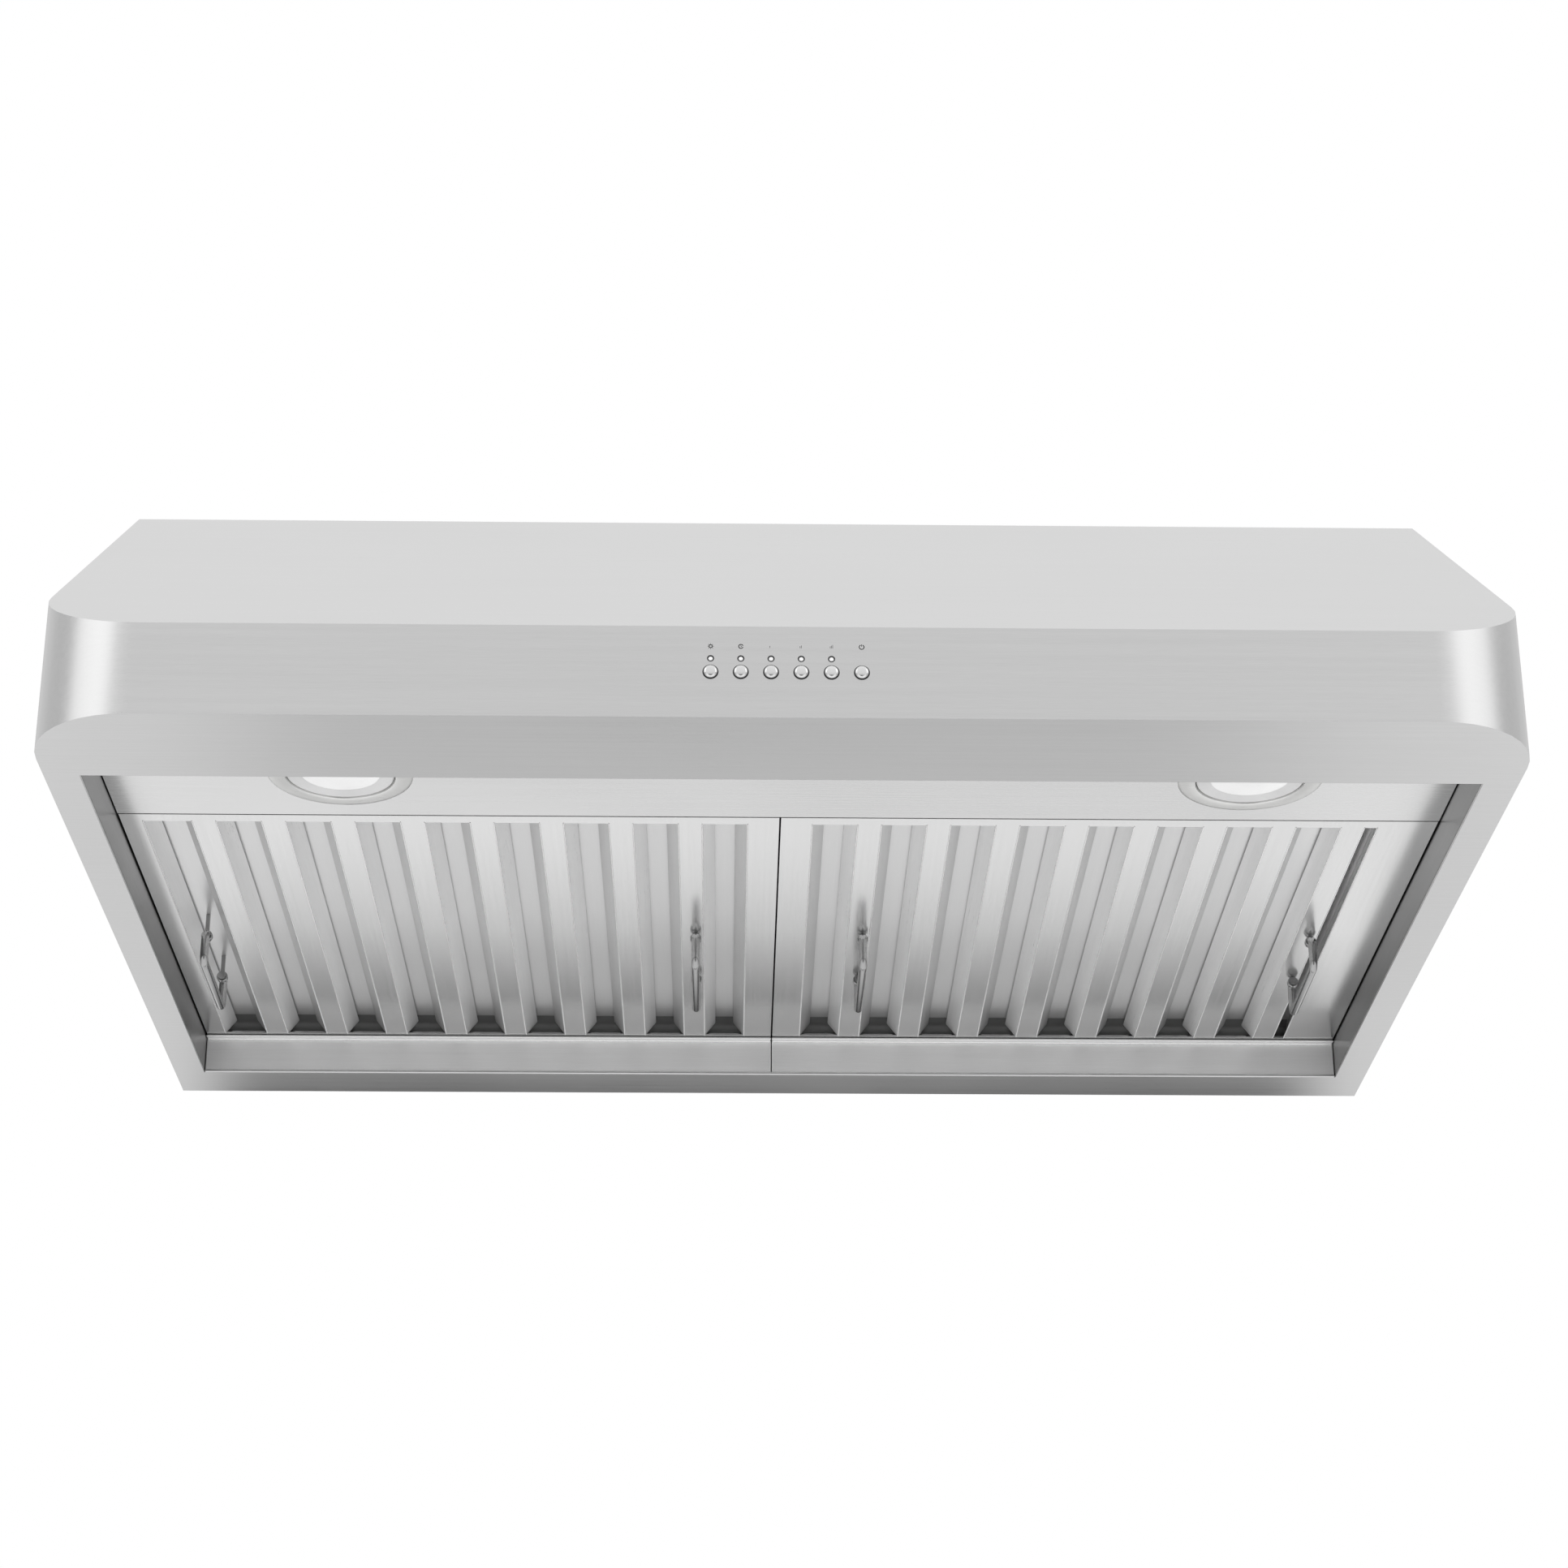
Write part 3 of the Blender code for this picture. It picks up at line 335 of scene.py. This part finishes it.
def refine(node, width, segments):
    """The CAD node's own shape with merged faces, rounded edges and smooth curves."""
    bm = bmesh.new()
    bm.from_mesh(NODES[node].data)
    bmesh.ops.remove_doubles(bm, verts=bm.verts, dist=MERGE_DISTANCE)
    flat = math.radians(FLAT_ANGLE)
    bmesh.ops.dissolve_limit(bm, angle_limit=flat, verts=bm.verts, edges=bm.edges)
    mesh = bpy.data.meshes.new(node + "_finished")
    bm.to_mesh(mesh)
    bm.free()
    mesh.materials.append(finish_of(node))
    piece = bpy.data.objects.new(node + "_finished", mesh)
    soften(piece, width, segments, FOLD_EDGE.get(node))
    place_piece(piece, node)


def turn_profile(bm, profile, centre, axis="Z", segments=TURN_SIDES):
    """Add a turned surface. The profile holds (radius, distance along the axis)."""
    rings = []
    for radius, along in profile:
        ring = []
        for k in range(segments if radius > 0.0 else 1):
            angle = 2.0 * math.pi * k / segments
            one, two = radius * math.cos(angle), radius * math.sin(angle)
            offset = {"X": (along, one, two), "Y": (one, along, two), "Z": (one, two, along)}[axis]
            ring.append(bm.verts.new(Vector(centre) + Vector(offset)))
        rings.append(ring)
    for one, two in zip(rings, rings[1:]):
        for k in range(segments):
            n = (k + 1) % segments
            corners = [one[k % len(one)], one[n % len(one)], two[n % len(two)], two[k % len(two)]]
            bm.faces.new(list(dict.fromkeys(corners)))


def mesh_piece(name, bm, smooth=32.0):
    bmesh.ops.recalc_face_normals(bm, faces=bm.faces)
    mesh = bpy.data.meshes.new(name)
    bm.to_mesh(mesh)
    bm.free()
    mesh.shade_smooth()
    mesh.set_sharp_from_angle(angle=math.radians(smooth))
    return bpy.data.objects.new(name, mesh)


def turn_piece(node, profile, centre, axis="Z", segments=TURN_SIDES):
    """One turned piece that stands for a CAD node."""
    bm = bmesh.new()
    turn_profile(bm, profile, centre, axis, segments)
    place_piece(mesh_piece(node + "_finished", bm), node)


def sweep_tube(bm, points, radius, sides=16):
    """Add a round wire with flat ends along points that lie in one plane across X."""
    rings = []
    last = len(points) - 1
    for i, point in enumerate(points):
        ahead = (Vector(points[min(i + 1, last)]) - Vector(points[max(i - 1, 0)])).normalized()
        across = Vector((1.0, 0.0, 0.0))
        up = ahead.cross(across).normalized()
        ring = []
        for k in range(sides):
            angle = 2.0 * math.pi * k / sides
            offset = across * math.cos(angle) + up * math.sin(angle)
            ring.append(bm.verts.new(Vector(point) + offset * radius))
        rings.append(ring)
    for one, two in zip(rings, rings[1:]):
        for k in range(sides):
            n = (k + 1) % sides
            bm.faces.new((one[k], one[n], two[n], two[k]))
    bm.faces.new(rings[0])
    bm.faces.new(reversed(rings[-1]))


def quarter(centre, radius, start, stop):
    """Points (y, z) on an arc, angles in degrees."""
    points = []
    for k in range(ARC_STEPS + 1):
        angle = math.radians(start + (stop - start) * k / ARC_STEPS)
        points.append((centre[0] + radius * math.cos(angle), centre[1] + radius * math.sin(angle)))
    return points


def make_handle(number):
    """Bent wire bail; its size is the CAD handle's box."""
    node = "filter_handle_%d" % number
    low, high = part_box(node)
    wire = (high[0] - low[0]) / 2
    x = (high[0] + low[0]) / 2
    front, back = low[1] + wire, high[1] - wire
    grip, pivot = low[2] + wire, high[2] - wire
    bend, top_bend, tail = 0.0040, 0.0028, 0.0088
    half = [(front + tail, pivot)]
    half += quarter((front + top_bend, pivot - top_bend), top_bend, 90, 180)
    half += quarter((front + bend, grip + bend), bend, 180, 270)
    middle = (front + back) / 2
    path = half + [(2 * middle - y, z) for y, z in reversed(half)]
    bm = bmesh.new()
    sweep_tube(bm, [(x, y, z) for y, z in path], wire)
    place_piece(mesh_piece(node + "_finished", bm, 50.0), node)


def make_lamp(word):
    """Trim ring, dished lamp body and frosted lens, on the middle of the CAD trim ring."""
    low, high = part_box("light_bezel_" + word)
    outer = (high[0] - low[0]) / 2
    centre = ((low[0] + high[0]) / 2, (low[1] + high[1]) / 2, low[2])
    bore, sleeve, depth, flange = 0.0290, 0.0302, 0.0118, 0.0015
    ring = [
        (bore, depth), (bore, 0.0009), (0.0293, 0.0003), (0.0299, 0.0), (outer - 0.0022, 0.0),
        (outer - 0.0009, 0.0002), (outer - 0.0002, 0.0007), (outer, 0.0013), (outer, flange),
        (sleeve, flange), (sleeve, depth), (bore, depth),
    ]
    turn_piece("light_bezel_" + word, ring, centre)
    well, rim, top = 0.0222, 0.0284, high[2] - low[2] + 0.004
    body = [
        (0.0, 0.0042), (well, 0.0042), (well, 0.0026), (0.0203, 0.0021), (0.0206, 0.0017),
        (0.0262, 0.0007), (0.0275, 0.0005), (0.0281, 0.0008), (rim, 0.0014), (rim, top), (0.0, top),
    ]
    turn_piece("light_module_" + word, body, centre)
    edge, back = 0.0211, 0.0040
    lens = [
        (0.0, 0.0011), (0.0050, 0.00112), (0.0100, 0.0012), (0.0150, 0.00133), (0.0190, 0.0015),
        (0.0207, 0.0016), (edge, 0.0021), (edge, back), (0.0, back),
    ]
    turn_piece("light_lens_" + word, lens, centre)


def make_button(number):
    """Domed satin cap with a rolled edge."""
    node = "push_button_%d" % number
    low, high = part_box(node)
    centre = ((low[0] + high[0]) / 2, low[1], (low[2] + high[2]) / 2)
    cap, collar, stem = 0.0034, 0.0046, 0.0022
    inside = 0.0038
    end = inside + 0.0078
    profile = [
        (0.0, 0.0), (0.0012, 0.00003), (0.0020, 0.00012), (0.0026, 0.0003), (0.0030, 0.0006),
        (0.0033, 0.0010), (cap, 0.0015), (cap, inside), (0.0045, inside + 0.0001),
        (collar, inside + 0.0003), (collar, inside + 0.0011), (stem, inside + 0.0012),
        (stem, end), (0.0, end),
    ]
    turn_piece(node, profile, centre, "Y", 40)


def paint_lip_light_and_shade(word):
    """Painted light and shade on the folded slot edges: the ones that face the middle get the bright lit
    copy, the others the duller painted-shade copy.
    """
    piece = bpy.data.objects["filter_tray_%s_finished" % word]
    piece.data.materials.append(LIP)
    piece.data.materials.append(LIP_SHADED)
    inward = 1.0 if word == "left" else -1.0
    for face in piece.data.polygons:
        if face.normal.z < -LIP_SLOPE and abs(face.normal.x) > LIP_SLOPE:
            bright = face.normal.x * inward > 0.0
            face.material_index = LIP_INDEX if bright else LIP_SHADED_INDEX


def make_lug(node):
    """Small rolled bearing for the wire end, on a narrow neck."""
    low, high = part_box(node)
    radius = (high[0] - low[0]) / 2
    x, pivot = (high[0] + low[0]) / 2, low[2] + radius
    bore, outer = WIRE_BORE, radius - 0.0006
    corner, neck_half, neck_inset = 0.0003, 0.0011, 0.0004
    bm = bmesh.new()
    half = (high[1] - low[1]) / 2
    ring = [(bore, -half), (outer - corner, -half), (outer, corner - half)]
    ring += [(reach, -along) for reach, along in reversed(ring)]
    turn_profile(bm, ring + ring[:1], (x, (low[1] + high[1]) / 2, pivot), "Y", 32)
    front, back = low[1] + neck_inset, high[1] - neck_inset
    neck = [(x - neck_half, front), (x + neck_half, front), (x + neck_half, back), (x - neck_half, back)]
    foot, top = pivot + (bore + outer) / 2, high[2]
    lower = [bm.verts.new((a, b, foot)) for a, b in neck]
    upper = [bm.verts.new((a, b, top)) for a, b in neck]
    bm.faces.new(lower)
    bm.faces.new(reversed(upper))
    for i in range(4):
        bm.faces.new((lower[i], lower[(i + 1) % 4], upper[(i + 1) % 4], upper[i]))
    place_piece(mesh_piece(node + "_finished", bm), node)


def add_detail(name, bm, material, body=HOOD, smooth=32.0):
    """A small detail that has no CAD node of its own."""
    piece = mesh_piece(name, bm, smooth)
    bpy.context.scene.collection.objects.link(piece)
    piece.data.materials.append(material)
    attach(piece, body)


def indicator_places():
    """Centres (x, z) of the five indicators, from the buttons and the light pipe."""
    low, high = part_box("indicator_light_pipe")
    places = []
    for number in range(1, 6):
        button_low, button_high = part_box("push_button_%d" % number)
        places.append(((button_low[0] + button_high[0]) / 2, (low[2] + high[2]) / 2))
    return places


def make_indicators():
    """Black sleeve in each indicator hole, painted shade for the hole's shadowed inner wall, with a small
    bright lens low in it.
    """
    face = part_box("canopy_shell")[0][1]
    shadow_rims, lenses = bmesh.new(), bmesh.new()
    bore, depth = 0.00125, 0.0012
    rim = [
        (bore, depth), (bore, 0.0001), (0.00132, -0.00006), (0.0017, -0.00008), (0.0018, 0.0),
        (0.0018, 0.0002), (0.00145, 0.0004), (0.00145, depth), (bore, depth),
    ]
    dome = [
        (0.0, -0.0001), (0.0004, -0.00005), (0.0007, 0.0001), (0.00085, 0.0004),
        (0.00085, 0.003), (0.0, 0.003),
    ]
    lens_drop = 0.00035
    for x, z in indicator_places():
        turn_profile(shadow_rims, rim, (x, face, z), "Y", 32)
        turn_profile(lenses, dome, (x, face, z - lens_drop), "Y", 24)
    add_detail("indicator_shadow_sleeves", shadow_rims, BLACK)
    add_detail("indicator_lenses", lenses, LENS)


def ring_mark(bm, x, z, radius, face, start=0.0, stop=360.0):
    """A flat printed arc on the band."""
    width, steps = 0.0002, 28
    inner, outer = [], []
    for k in range(steps + 1):
        angle = math.radians(start + (stop - start) * k / steps)
        for ring, reach in ((inner, radius - width), (outer, radius + width)):
            ring.append(bm.verts.new((x + reach * math.cos(angle), face, z + reach * math.sin(angle))))
    for k in range(steps):
        bm.faces.new((inner[k], inner[k + 1], outer[k + 1], outer[k]))


def bar_mark(bm, x, z, angle, near, far, face, width=0.00016):
    """A flat printed stroke, from near to far along angle."""
    along = Vector((math.cos(math.radians(angle)), 0.0, math.sin(math.radians(angle))))
    across = Vector((-along.z, 0.0, along.x)) * width
    hub = Vector((x, face, z))
    corners = [hub + along * near - across, hub + along * far - across]
    corners += [hub + along * far + across, hub + along * near + across]
    bm.faces.new([bm.verts.new(corner) for corner in corners])


def make_button_shadows():
    """Black ring round each button: painted shade for the dark gap and the shadow under the cap."""
    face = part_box("canopy_shell")[0][1]
    bore, depth = 0.00345, 0.0012
    shadow_profile = [
        (bore, depth), (bore, 0.0), (0.0036, -0.00015), (0.0039, -0.0001), (0.0040, 0.0),
        (0.0040, 0.0002), (0.0037, 0.0004), (0.0037, depth), (bore, depth),
    ]
    bm = bmesh.new()
    for number in range(1, 7):
        low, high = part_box("push_button_%d" % number)
        x, z = (low[0] + high[0]) / 2, (low[2] + high[2]) / 2
        turn_profile(bm, shadow_profile, (x, face, z), "Y", 40)
    add_detail("button_shadow_rings", bm, BLACK)


def make_hem(name, first, last, y, z, radius, corner, sides):
    """Rolled hem along an inner edge of the rim, from x = first to x = last."""
    profile = [(0.0, first), (radius * 0.7, first), (radius, first + corner)]
    profile += [(radius, last - corner), (radius * 0.7, last), (0.0, last)]
    bm = bmesh.new()
    turn_profile(bm, profile, (0.0, y, z), "X", sides)
    add_detail(name, bm, STEEL)


def make_hems():
    """The rear edge of the front rim, and the front edge of the rear rim by the rails."""
    low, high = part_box("light_panel")
    make_hem("front_rim_hem", low[0], high[0], low[1] - 0.0006, 0.00132, 0.0013, 0.0004, 24)
    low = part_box("rear_rail_left")[0]
    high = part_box("rear_rail_right")[1]
    edge = high[1] - RAIL_FOOT
    make_hem("rear_rim_hem", low[0], high[0], edge + 0.0002, 0.00115, 0.0010, 0.0003, 20)


def make_slot_beads(word):
    """Fine rolled bead along both edges of every slot, where the CAD tray has its slot corners."""
    level, near, margin = 0.00002, 0.0012, 0.003
    rise, overrun, bead = 0.0002, 0.0004, 0.00045
    tray = NODES["filter_tray_" + word]
    low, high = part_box("filter_tray_" + word)
    front, back = low[1] + SLOT_FRONT_INSET, high[1] - SLOT_BACK_INSET
    places = set()
    for vertex in tray.data.vertices:
        x, y, z = vertex.co
        at_corner = abs(z - low[2]) < level and abs(y - front) < near
        if at_corner and low[0] + margin < x < high[0] - margin:
            places.add(round(x, 4))
    bm = bmesh.new()
    for x in sorted(places):
        start, stop = (x, front - overrun, low[2] + rise), (x, back + overrun, low[2] + rise)
        sweep_tube(bm, [start, stop], bead, 10)
    # The beads wear the painted-highlight steel.
    add_detail("slot_beads_" + word, bm, EDGE, "filter_" + word, 60.0)


def make_slot_end_shadow(word):
    """Dark curved strip across the slots' rear ends, between the tray and the baffles: painted shade for
    the shadowed slot ends.
    """
    low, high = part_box("filter_tray_" + word)
    baffle_low, baffle_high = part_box("filter_baffles_" + word)
    back, foot = high[1] - 0.0010, low[2] + 0.0031
    top = baffle_high[2] - 0.0009
    depth, steps = 0.0100, 8
    section = []
    for k in range(steps + 1):
        angle = math.radians(90.0 / steps * k)
        section.append((back - depth + depth * math.sin(angle), foot + (top - foot) * math.cos(angle)))
    bm = bmesh.new()
    rows = [[bm.verts.new((x, y, z)) for y, z in section] for x in (baffle_low[0], baffle_high[0])]
    for k in range(steps):
        bm.faces.new((rows[0][k], rows[0][k + 1], rows[1][k + 1], rows[1][k]))
    bmesh.ops.solidify(bm, geom=bm.faces[:], thickness=0.0002)
    add_detail("filter_slot_shadow_strip_" + word, bm, SLOT_END_SHADE, "filter_" + word)


def make_symbols():
    """Plain generic marks over the buttons: lamp, timer, three speeds and a power ring."""
    proud, above, fine, ink = 0.00005, 0.0141, 0.0001, 0.00004
    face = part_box("canopy_shell")[0][1] - proud
    low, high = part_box("push_button_1")
    height = (low[2] + high[2]) / 2 + above
    bm = bmesh.new()
    for number in range(1, 7):
        low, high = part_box("push_button_%d" % number)
        x = (low[0] + high[0]) / 2
        if number == 1:
            ring_mark(bm, x, height, 0.0008, face)
            for angle in range(0, 360, 45):
                bar_mark(bm, x, height, angle, 0.0011, 0.0016, face, fine)
        elif number == 2:
            ring_mark(bm, x, height, 0.0011, face, start=20.0, stop=340.0)
            bar_mark(bm, x, height, 90, 0.0, 0.0008, face, fine)
            bar_mark(bm, x, height, 0, 0.0, 0.0006, face, fine)
        elif number == 6:
            ring_mark(bm, x, height, 0.0012, face, start=115.0, stop=425.0)
            bar_mark(bm, x, height, 90, 0.0003, 0.0015, face)
        else:
            for step in range(number - 2):
                place, tip = x - 0.0006 + 0.0006 * step, 0.0003 + 0.0004 * step
                bar_mark(bm, place, height, 90, -0.0008, tip, face, fine)
    bmesh.ops.solidify(bm, geom=bm.faces[:], thickness=ink)
    add_detail("button_marks", bm, PRINT)


# width and segments of the rounded edges
SOFT_EDGES = {
    "canopy_shell": (0.0006, 3),
    "top_plate": (0.0005, 2),
    "back_plate": (0.0005, 2),
    "recess_frame": (0.0004, 2),
    "rear_rail_left": (0.0005, 3),
    "rear_rail_right": (0.0005, 3),
    "light_panel": (0.0005, 3),
    "filter_tray_left": (0.00038, 2),
    "filter_tray_right": (0.00038, 2),
    "filter_baffles_left": (0.0003, 2),
    "filter_baffles_right": (0.0003, 2),
    "duct_collar": (0.0003, 2),
    "damper_flap_front": (0.0002, 2),
    "damper_flap_rear": (0.0002, 2),
    "cable_gland": (0.0005, 2),
    "junction_box": (0.0004, 2),
    "junction_box_cover": (0.0004, 2),
    "control_housing": (0.0005, 2),
    "blower_housing": (0.0004, 2),
    "motor_bracket": (0.0003, 2),
    "light_driver": (0.0015, 3),
    "indicator_light_pipe": (0.0003, 2),
}
for number in range(1, 5):
    make_handle(number)
    for end in ("front", "rear"):
        make_lug("handle_lug_%d_%s" % (number, end))
for word in ("left", "right"):
    make_lamp(word)
for number in range(1, 7):
    make_button(number)
for name, (width, segments) in SOFT_EDGES.items():
    refine(name, width, segments)
for word in ("left", "right"):
    paint_lip_light_and_shade(word)
make_indicators()
make_button_shadows()
make_hems()
for word in ("left", "right"):
    make_slot_end_shadow(word)
    make_slot_beads(word)
make_symbols()


# ---------------------------------------------------------------- camera, floor and light
CAMERA_PLACE = Vector((-0.0279, -1.8022, -0.7104))
CAMERA_TURN = math.radians(-1.01)
CAMERA_LIFT = math.radians(23.97)
CAMERA_ROLL = math.radians(0.06)
CAMERA_LENS = 78.17
SENSOR_WIDTH = 36.0
FLOOR_HEIGHT = -1.30
FLOOR_REACH = 9.0
SOFTBOX_ASIDE = 1.35
SOFTBOX_FRONT = -0.95
SOFTBOX_HEIGHT = 0.80
SOFTBOX_AIM = (0.0, -0.25, 0.02)
SOFTBOX_SIZE = (1.1, 1.2)
SOFTBOX_POWER = 3.0
WALL_CARD_REACH = 0.60
WALL_CARD_BOTTOM = -0.60
WALL_CARD_Y = 0.5
WALL_CARD_HALF = 0.36
WALL_CARD_FADE = 0.06
WALL_SIDE_LEVEL = 0.90
# (height, level) up the wall card
WALL_LEVELS = (
    (-0.60, 0.50),
    (-0.38, 0.50),
    (-0.34, 0.60),
    (-0.30, 0.92),
    (-0.26, 1.08),
    (-0.217, 0.96),
    (-0.178, 0.78),
    (-0.14, 0.56),
    (-0.105, 0.34),
    (-0.088, 0.08),
    (0.0, 0.04),
)
# (direction, start, stop, level): the room is darker towards each direction
ROOM_SHADES = (
    ((-1.0, 0.0, 0.0), 0.55, 0.95, 0.72),
    ((1.0, 0.0, 0.0), 0.55, 0.95, 0.72),
    ((0.0, -0.94, -0.34), 0.90, 0.985, 0.20),
)
# (height of the direction, level) from straight down to straight up
ROOM_LEVELS = ((-1.0, 1.1), (-0.40, 1.1), (0.0, 0.75), (0.42, 0.78), (0.70, 1.0), (1.0, 1.0))


def make_camera():
    camera = bpy.data.objects.new("camera", bpy.data.cameras.new("camera"))
    bpy.context.scene.collection.objects.link(camera)
    turn = Matrix.Rotation(CAMERA_TURN, 3, "Z")
    turn = turn @ Matrix.Rotation(CAMERA_LIFT, 3, "X") @ Matrix.Rotation(CAMERA_ROLL, 3, "Y")
    look = turn @ Matrix.Rotation(math.radians(90), 3, "X")
    camera.matrix_world = Matrix.Translation(CAMERA_PLACE) @ look.to_4x4()
    camera.data.lens = CAMERA_LENS
    camera.data.sensor_width = SENSOR_WIDTH
    bpy.context.scene.camera = camera


def make_floor():
    mesh = bpy.data.meshes.new("floor")
    signs = ((-1, -1), (1, -1), (1, 1), (-1, 1))
    corners = [(FLOOR_REACH * x, FLOOR_REACH * y, 0.0) for x, y in signs]
    mesh.from_pydata(corners, [], [(0, 1, 2, 3)])
    floor = bpy.data.objects.new("floor", mesh)
    floor.location = (0.0, 0.0, FLOOR_HEIGHT)
    bpy.context.scene.collection.objects.link(floor)
    paint = Shader("pale_floor", grey(0.80), 0.7, 0.0)
    patch = paint.noise(0.7, 2.0, 0.5)
    paint.set("Base Color", paint.mix(patch, grey(0.79), grey(0.81)))
    floor.data.materials.append(paint.material)
    floor.visible_glossy = False


def make_light(name, place, aim, size, power):
    lamp = bpy.data.objects.new(name, bpy.data.lights.new(name, "AREA"))
    bpy.context.scene.collection.objects.link(lamp)
    lamp.location = place
    lamp.rotation_mode = "QUATERNION"
    lamp.rotation_quaternion = (Vector(aim) - Vector(place)).to_track_quat("-Z", "Y")
    lamp.data.shape = "RECTANGLE"
    lamp.data.size, lamp.data.size_y = size
    lamp.data.energy = power


def make_world():
    """White behind the object; what metal reflects is graded, and darker at the sides."""
    world = bpy.data.worlds.new("studio")
    bpy.context.scene.world = world
    world.use_nodes = True
    tree = world.node_tree
    tree.nodes.clear()
    output = tree.nodes.new("ShaderNodeOutputWorld")
    mix = tree.nodes.new("ShaderNodeMixShader")
    rays = tree.nodes.new("ShaderNodeLightPath")
    backdrop = tree.nodes.new("ShaderNodeBackground")
    backdrop.inputs["Color"].default_value = (1.0, 1.0, 1.0, 1.0)
    room = tree.nodes.new("ShaderNodeBackground")
    place = tree.nodes.new("ShaderNodeTexCoord")
    split = tree.nodes.new("ShaderNodeSeparateXYZ")
    ramp = tree.nodes.new("ShaderNodeValToRGB")
    spread = tree.nodes.new("ShaderNodeMapRange")
    spread.inputs["From Min"].default_value = -1.0
    tree.links.new(place.outputs["Generated"], split.inputs["Vector"])
    tree.links.new(split.outputs["Z"], spread.inputs["Value"])
    tree.links.new(spread.outputs["Result"], ramp.inputs["Fac"])
    shade = ramp.outputs["Color"]
    for direction, start, stop, level in ROOM_SHADES:
        facing = tree.nodes.new("ShaderNodeVectorMath")
        facing.operation = "DOT_PRODUCT"
        facing.inputs[1].default_value = direction
        tree.links.new(place.outputs["Generated"], facing.inputs[0])
        fade = tree.nodes.new("ShaderNodeMapRange")
        fade.interpolation_type = "SMOOTHSTEP"
        for socket, value in zip(("From Min", "From Max", "To Min", "To Max"), (start, stop, 1.0, level)):
            fade.inputs[socket].default_value = value
        tree.links.new(facing.outputs["Value"], fade.inputs["Value"])
        dim = tree.nodes.new("ShaderNodeVectorMath")
        dim.operation = "SCALE"
        tree.links.new(shade, dim.inputs[0])
        tree.links.new(fade.outputs["Result"], dim.inputs["Scale"])
        shade = dim.outputs["Vector"]
    tree.links.new(shade, room.inputs["Color"])
    stops = ramp.color_ramp.elements
    for number, (height, level) in enumerate(ROOM_LEVELS):
        stop = stops[number] if number < 2 else stops.new(0.5)
        stop.position = (height + 1.0) / 2
        stop.color = (level, level, level, 1.0)
    tree.links.new(rays.outputs["Is Camera Ray"], mix.inputs["Fac"])
    tree.links.new(room.outputs["Background"], mix.inputs[1])
    tree.links.new(backdrop.outputs["Background"], mix.inputs[2])
    tree.links.new(mix.outputs["Shader"], output.inputs["Surface"])


def make_wall_card():
    """A graded card behind the hood, seen only in reflections, as a flag in a studio."""
    mesh = bpy.data.meshes.new("wall_card")
    bottom = WALL_CARD_BOTTOM
    outline = ((-1, bottom), (1, bottom), (1, 0.0), (-1, 0.0))
    corners = [(WALL_CARD_REACH * side, WALL_CARD_Y, z) for side, z in outline]
    mesh.from_pydata(corners, [], [(0, 1, 2, 3)])
    card = bpy.data.objects.new("wall_card", mesh)
    bpy.context.scene.collection.objects.link(card)
    material = bpy.data.materials.new("wall_card")
    material.use_nodes = True
    tree = material.node_tree
    tree.nodes.clear()
    new, join = tree.nodes.new, tree.links.new
    output, glow = new("ShaderNodeOutputMaterial"), new("ShaderNodeEmission")
    place, split = new("ShaderNodeTexCoord"), new("ShaderNodeSeparateXYZ")
    ramp, height = new("ShaderNodeValToRGB"), new("ShaderNodeMapRange")
    aside, edge = new("ShaderNodeMath"), new("ShaderNodeMapRange")
    blend = new("ShaderNodeMix")
    join(place.outputs["Object"], split.inputs["Vector"])
    height.inputs["From Min"].default_value = bottom
    height.inputs["From Max"].default_value = 0.0
    join(split.outputs["Z"], height.inputs["Value"])
    join(height.outputs["Result"], ramp.inputs["Fac"])
    stops = ramp.color_ramp.elements
    for number, (place_z, level) in enumerate(WALL_LEVELS):
        stop = stops[number] if number < 2 else stops.new(0.999)
        stop.position = 1.0 - place_z / bottom
        stop.color = (level, level, level, 1.0)
    aside.operation = "ABSOLUTE"
    join(split.outputs["X"], aside.inputs[0])
    edge.interpolation_type = "SMOOTHSTEP"
    edge.inputs["From Min"].default_value = WALL_CARD_HALF
    edge.inputs["From Max"].default_value = WALL_CARD_HALF + WALL_CARD_FADE
    join(aside.outputs[0], edge.inputs["Value"])
    blend.data_type = "RGBA"
    join(edge.outputs["Result"], blend.inputs[0])
    join(ramp.outputs["Color"], blend.inputs[6])
    blend.inputs[7].default_value = (*grey(WALL_SIDE_LEVEL), 1.0)
    join(blend.outputs[2], glow.inputs["Color"])
    join(glow.outputs["Emission"], output.inputs["Surface"])
    mesh.materials.append(material)
    card.visible_camera = False
    card.visible_diffuse = False
    card.visible_shadow = False
    card.visible_transmission = False


make_camera()
make_floor()
make_world()
make_wall_card()
for side in (-1, 1):
    place = (side * SOFTBOX_ASIDE, SOFTBOX_FRONT, SOFTBOX_HEIGHT)
    make_light("side_softbox", place, SOFTBOX_AIM, SOFTBOX_SIZE, SOFTBOX_POWER)
bpy.context.scene.view_settings.view_transform = "Standard"
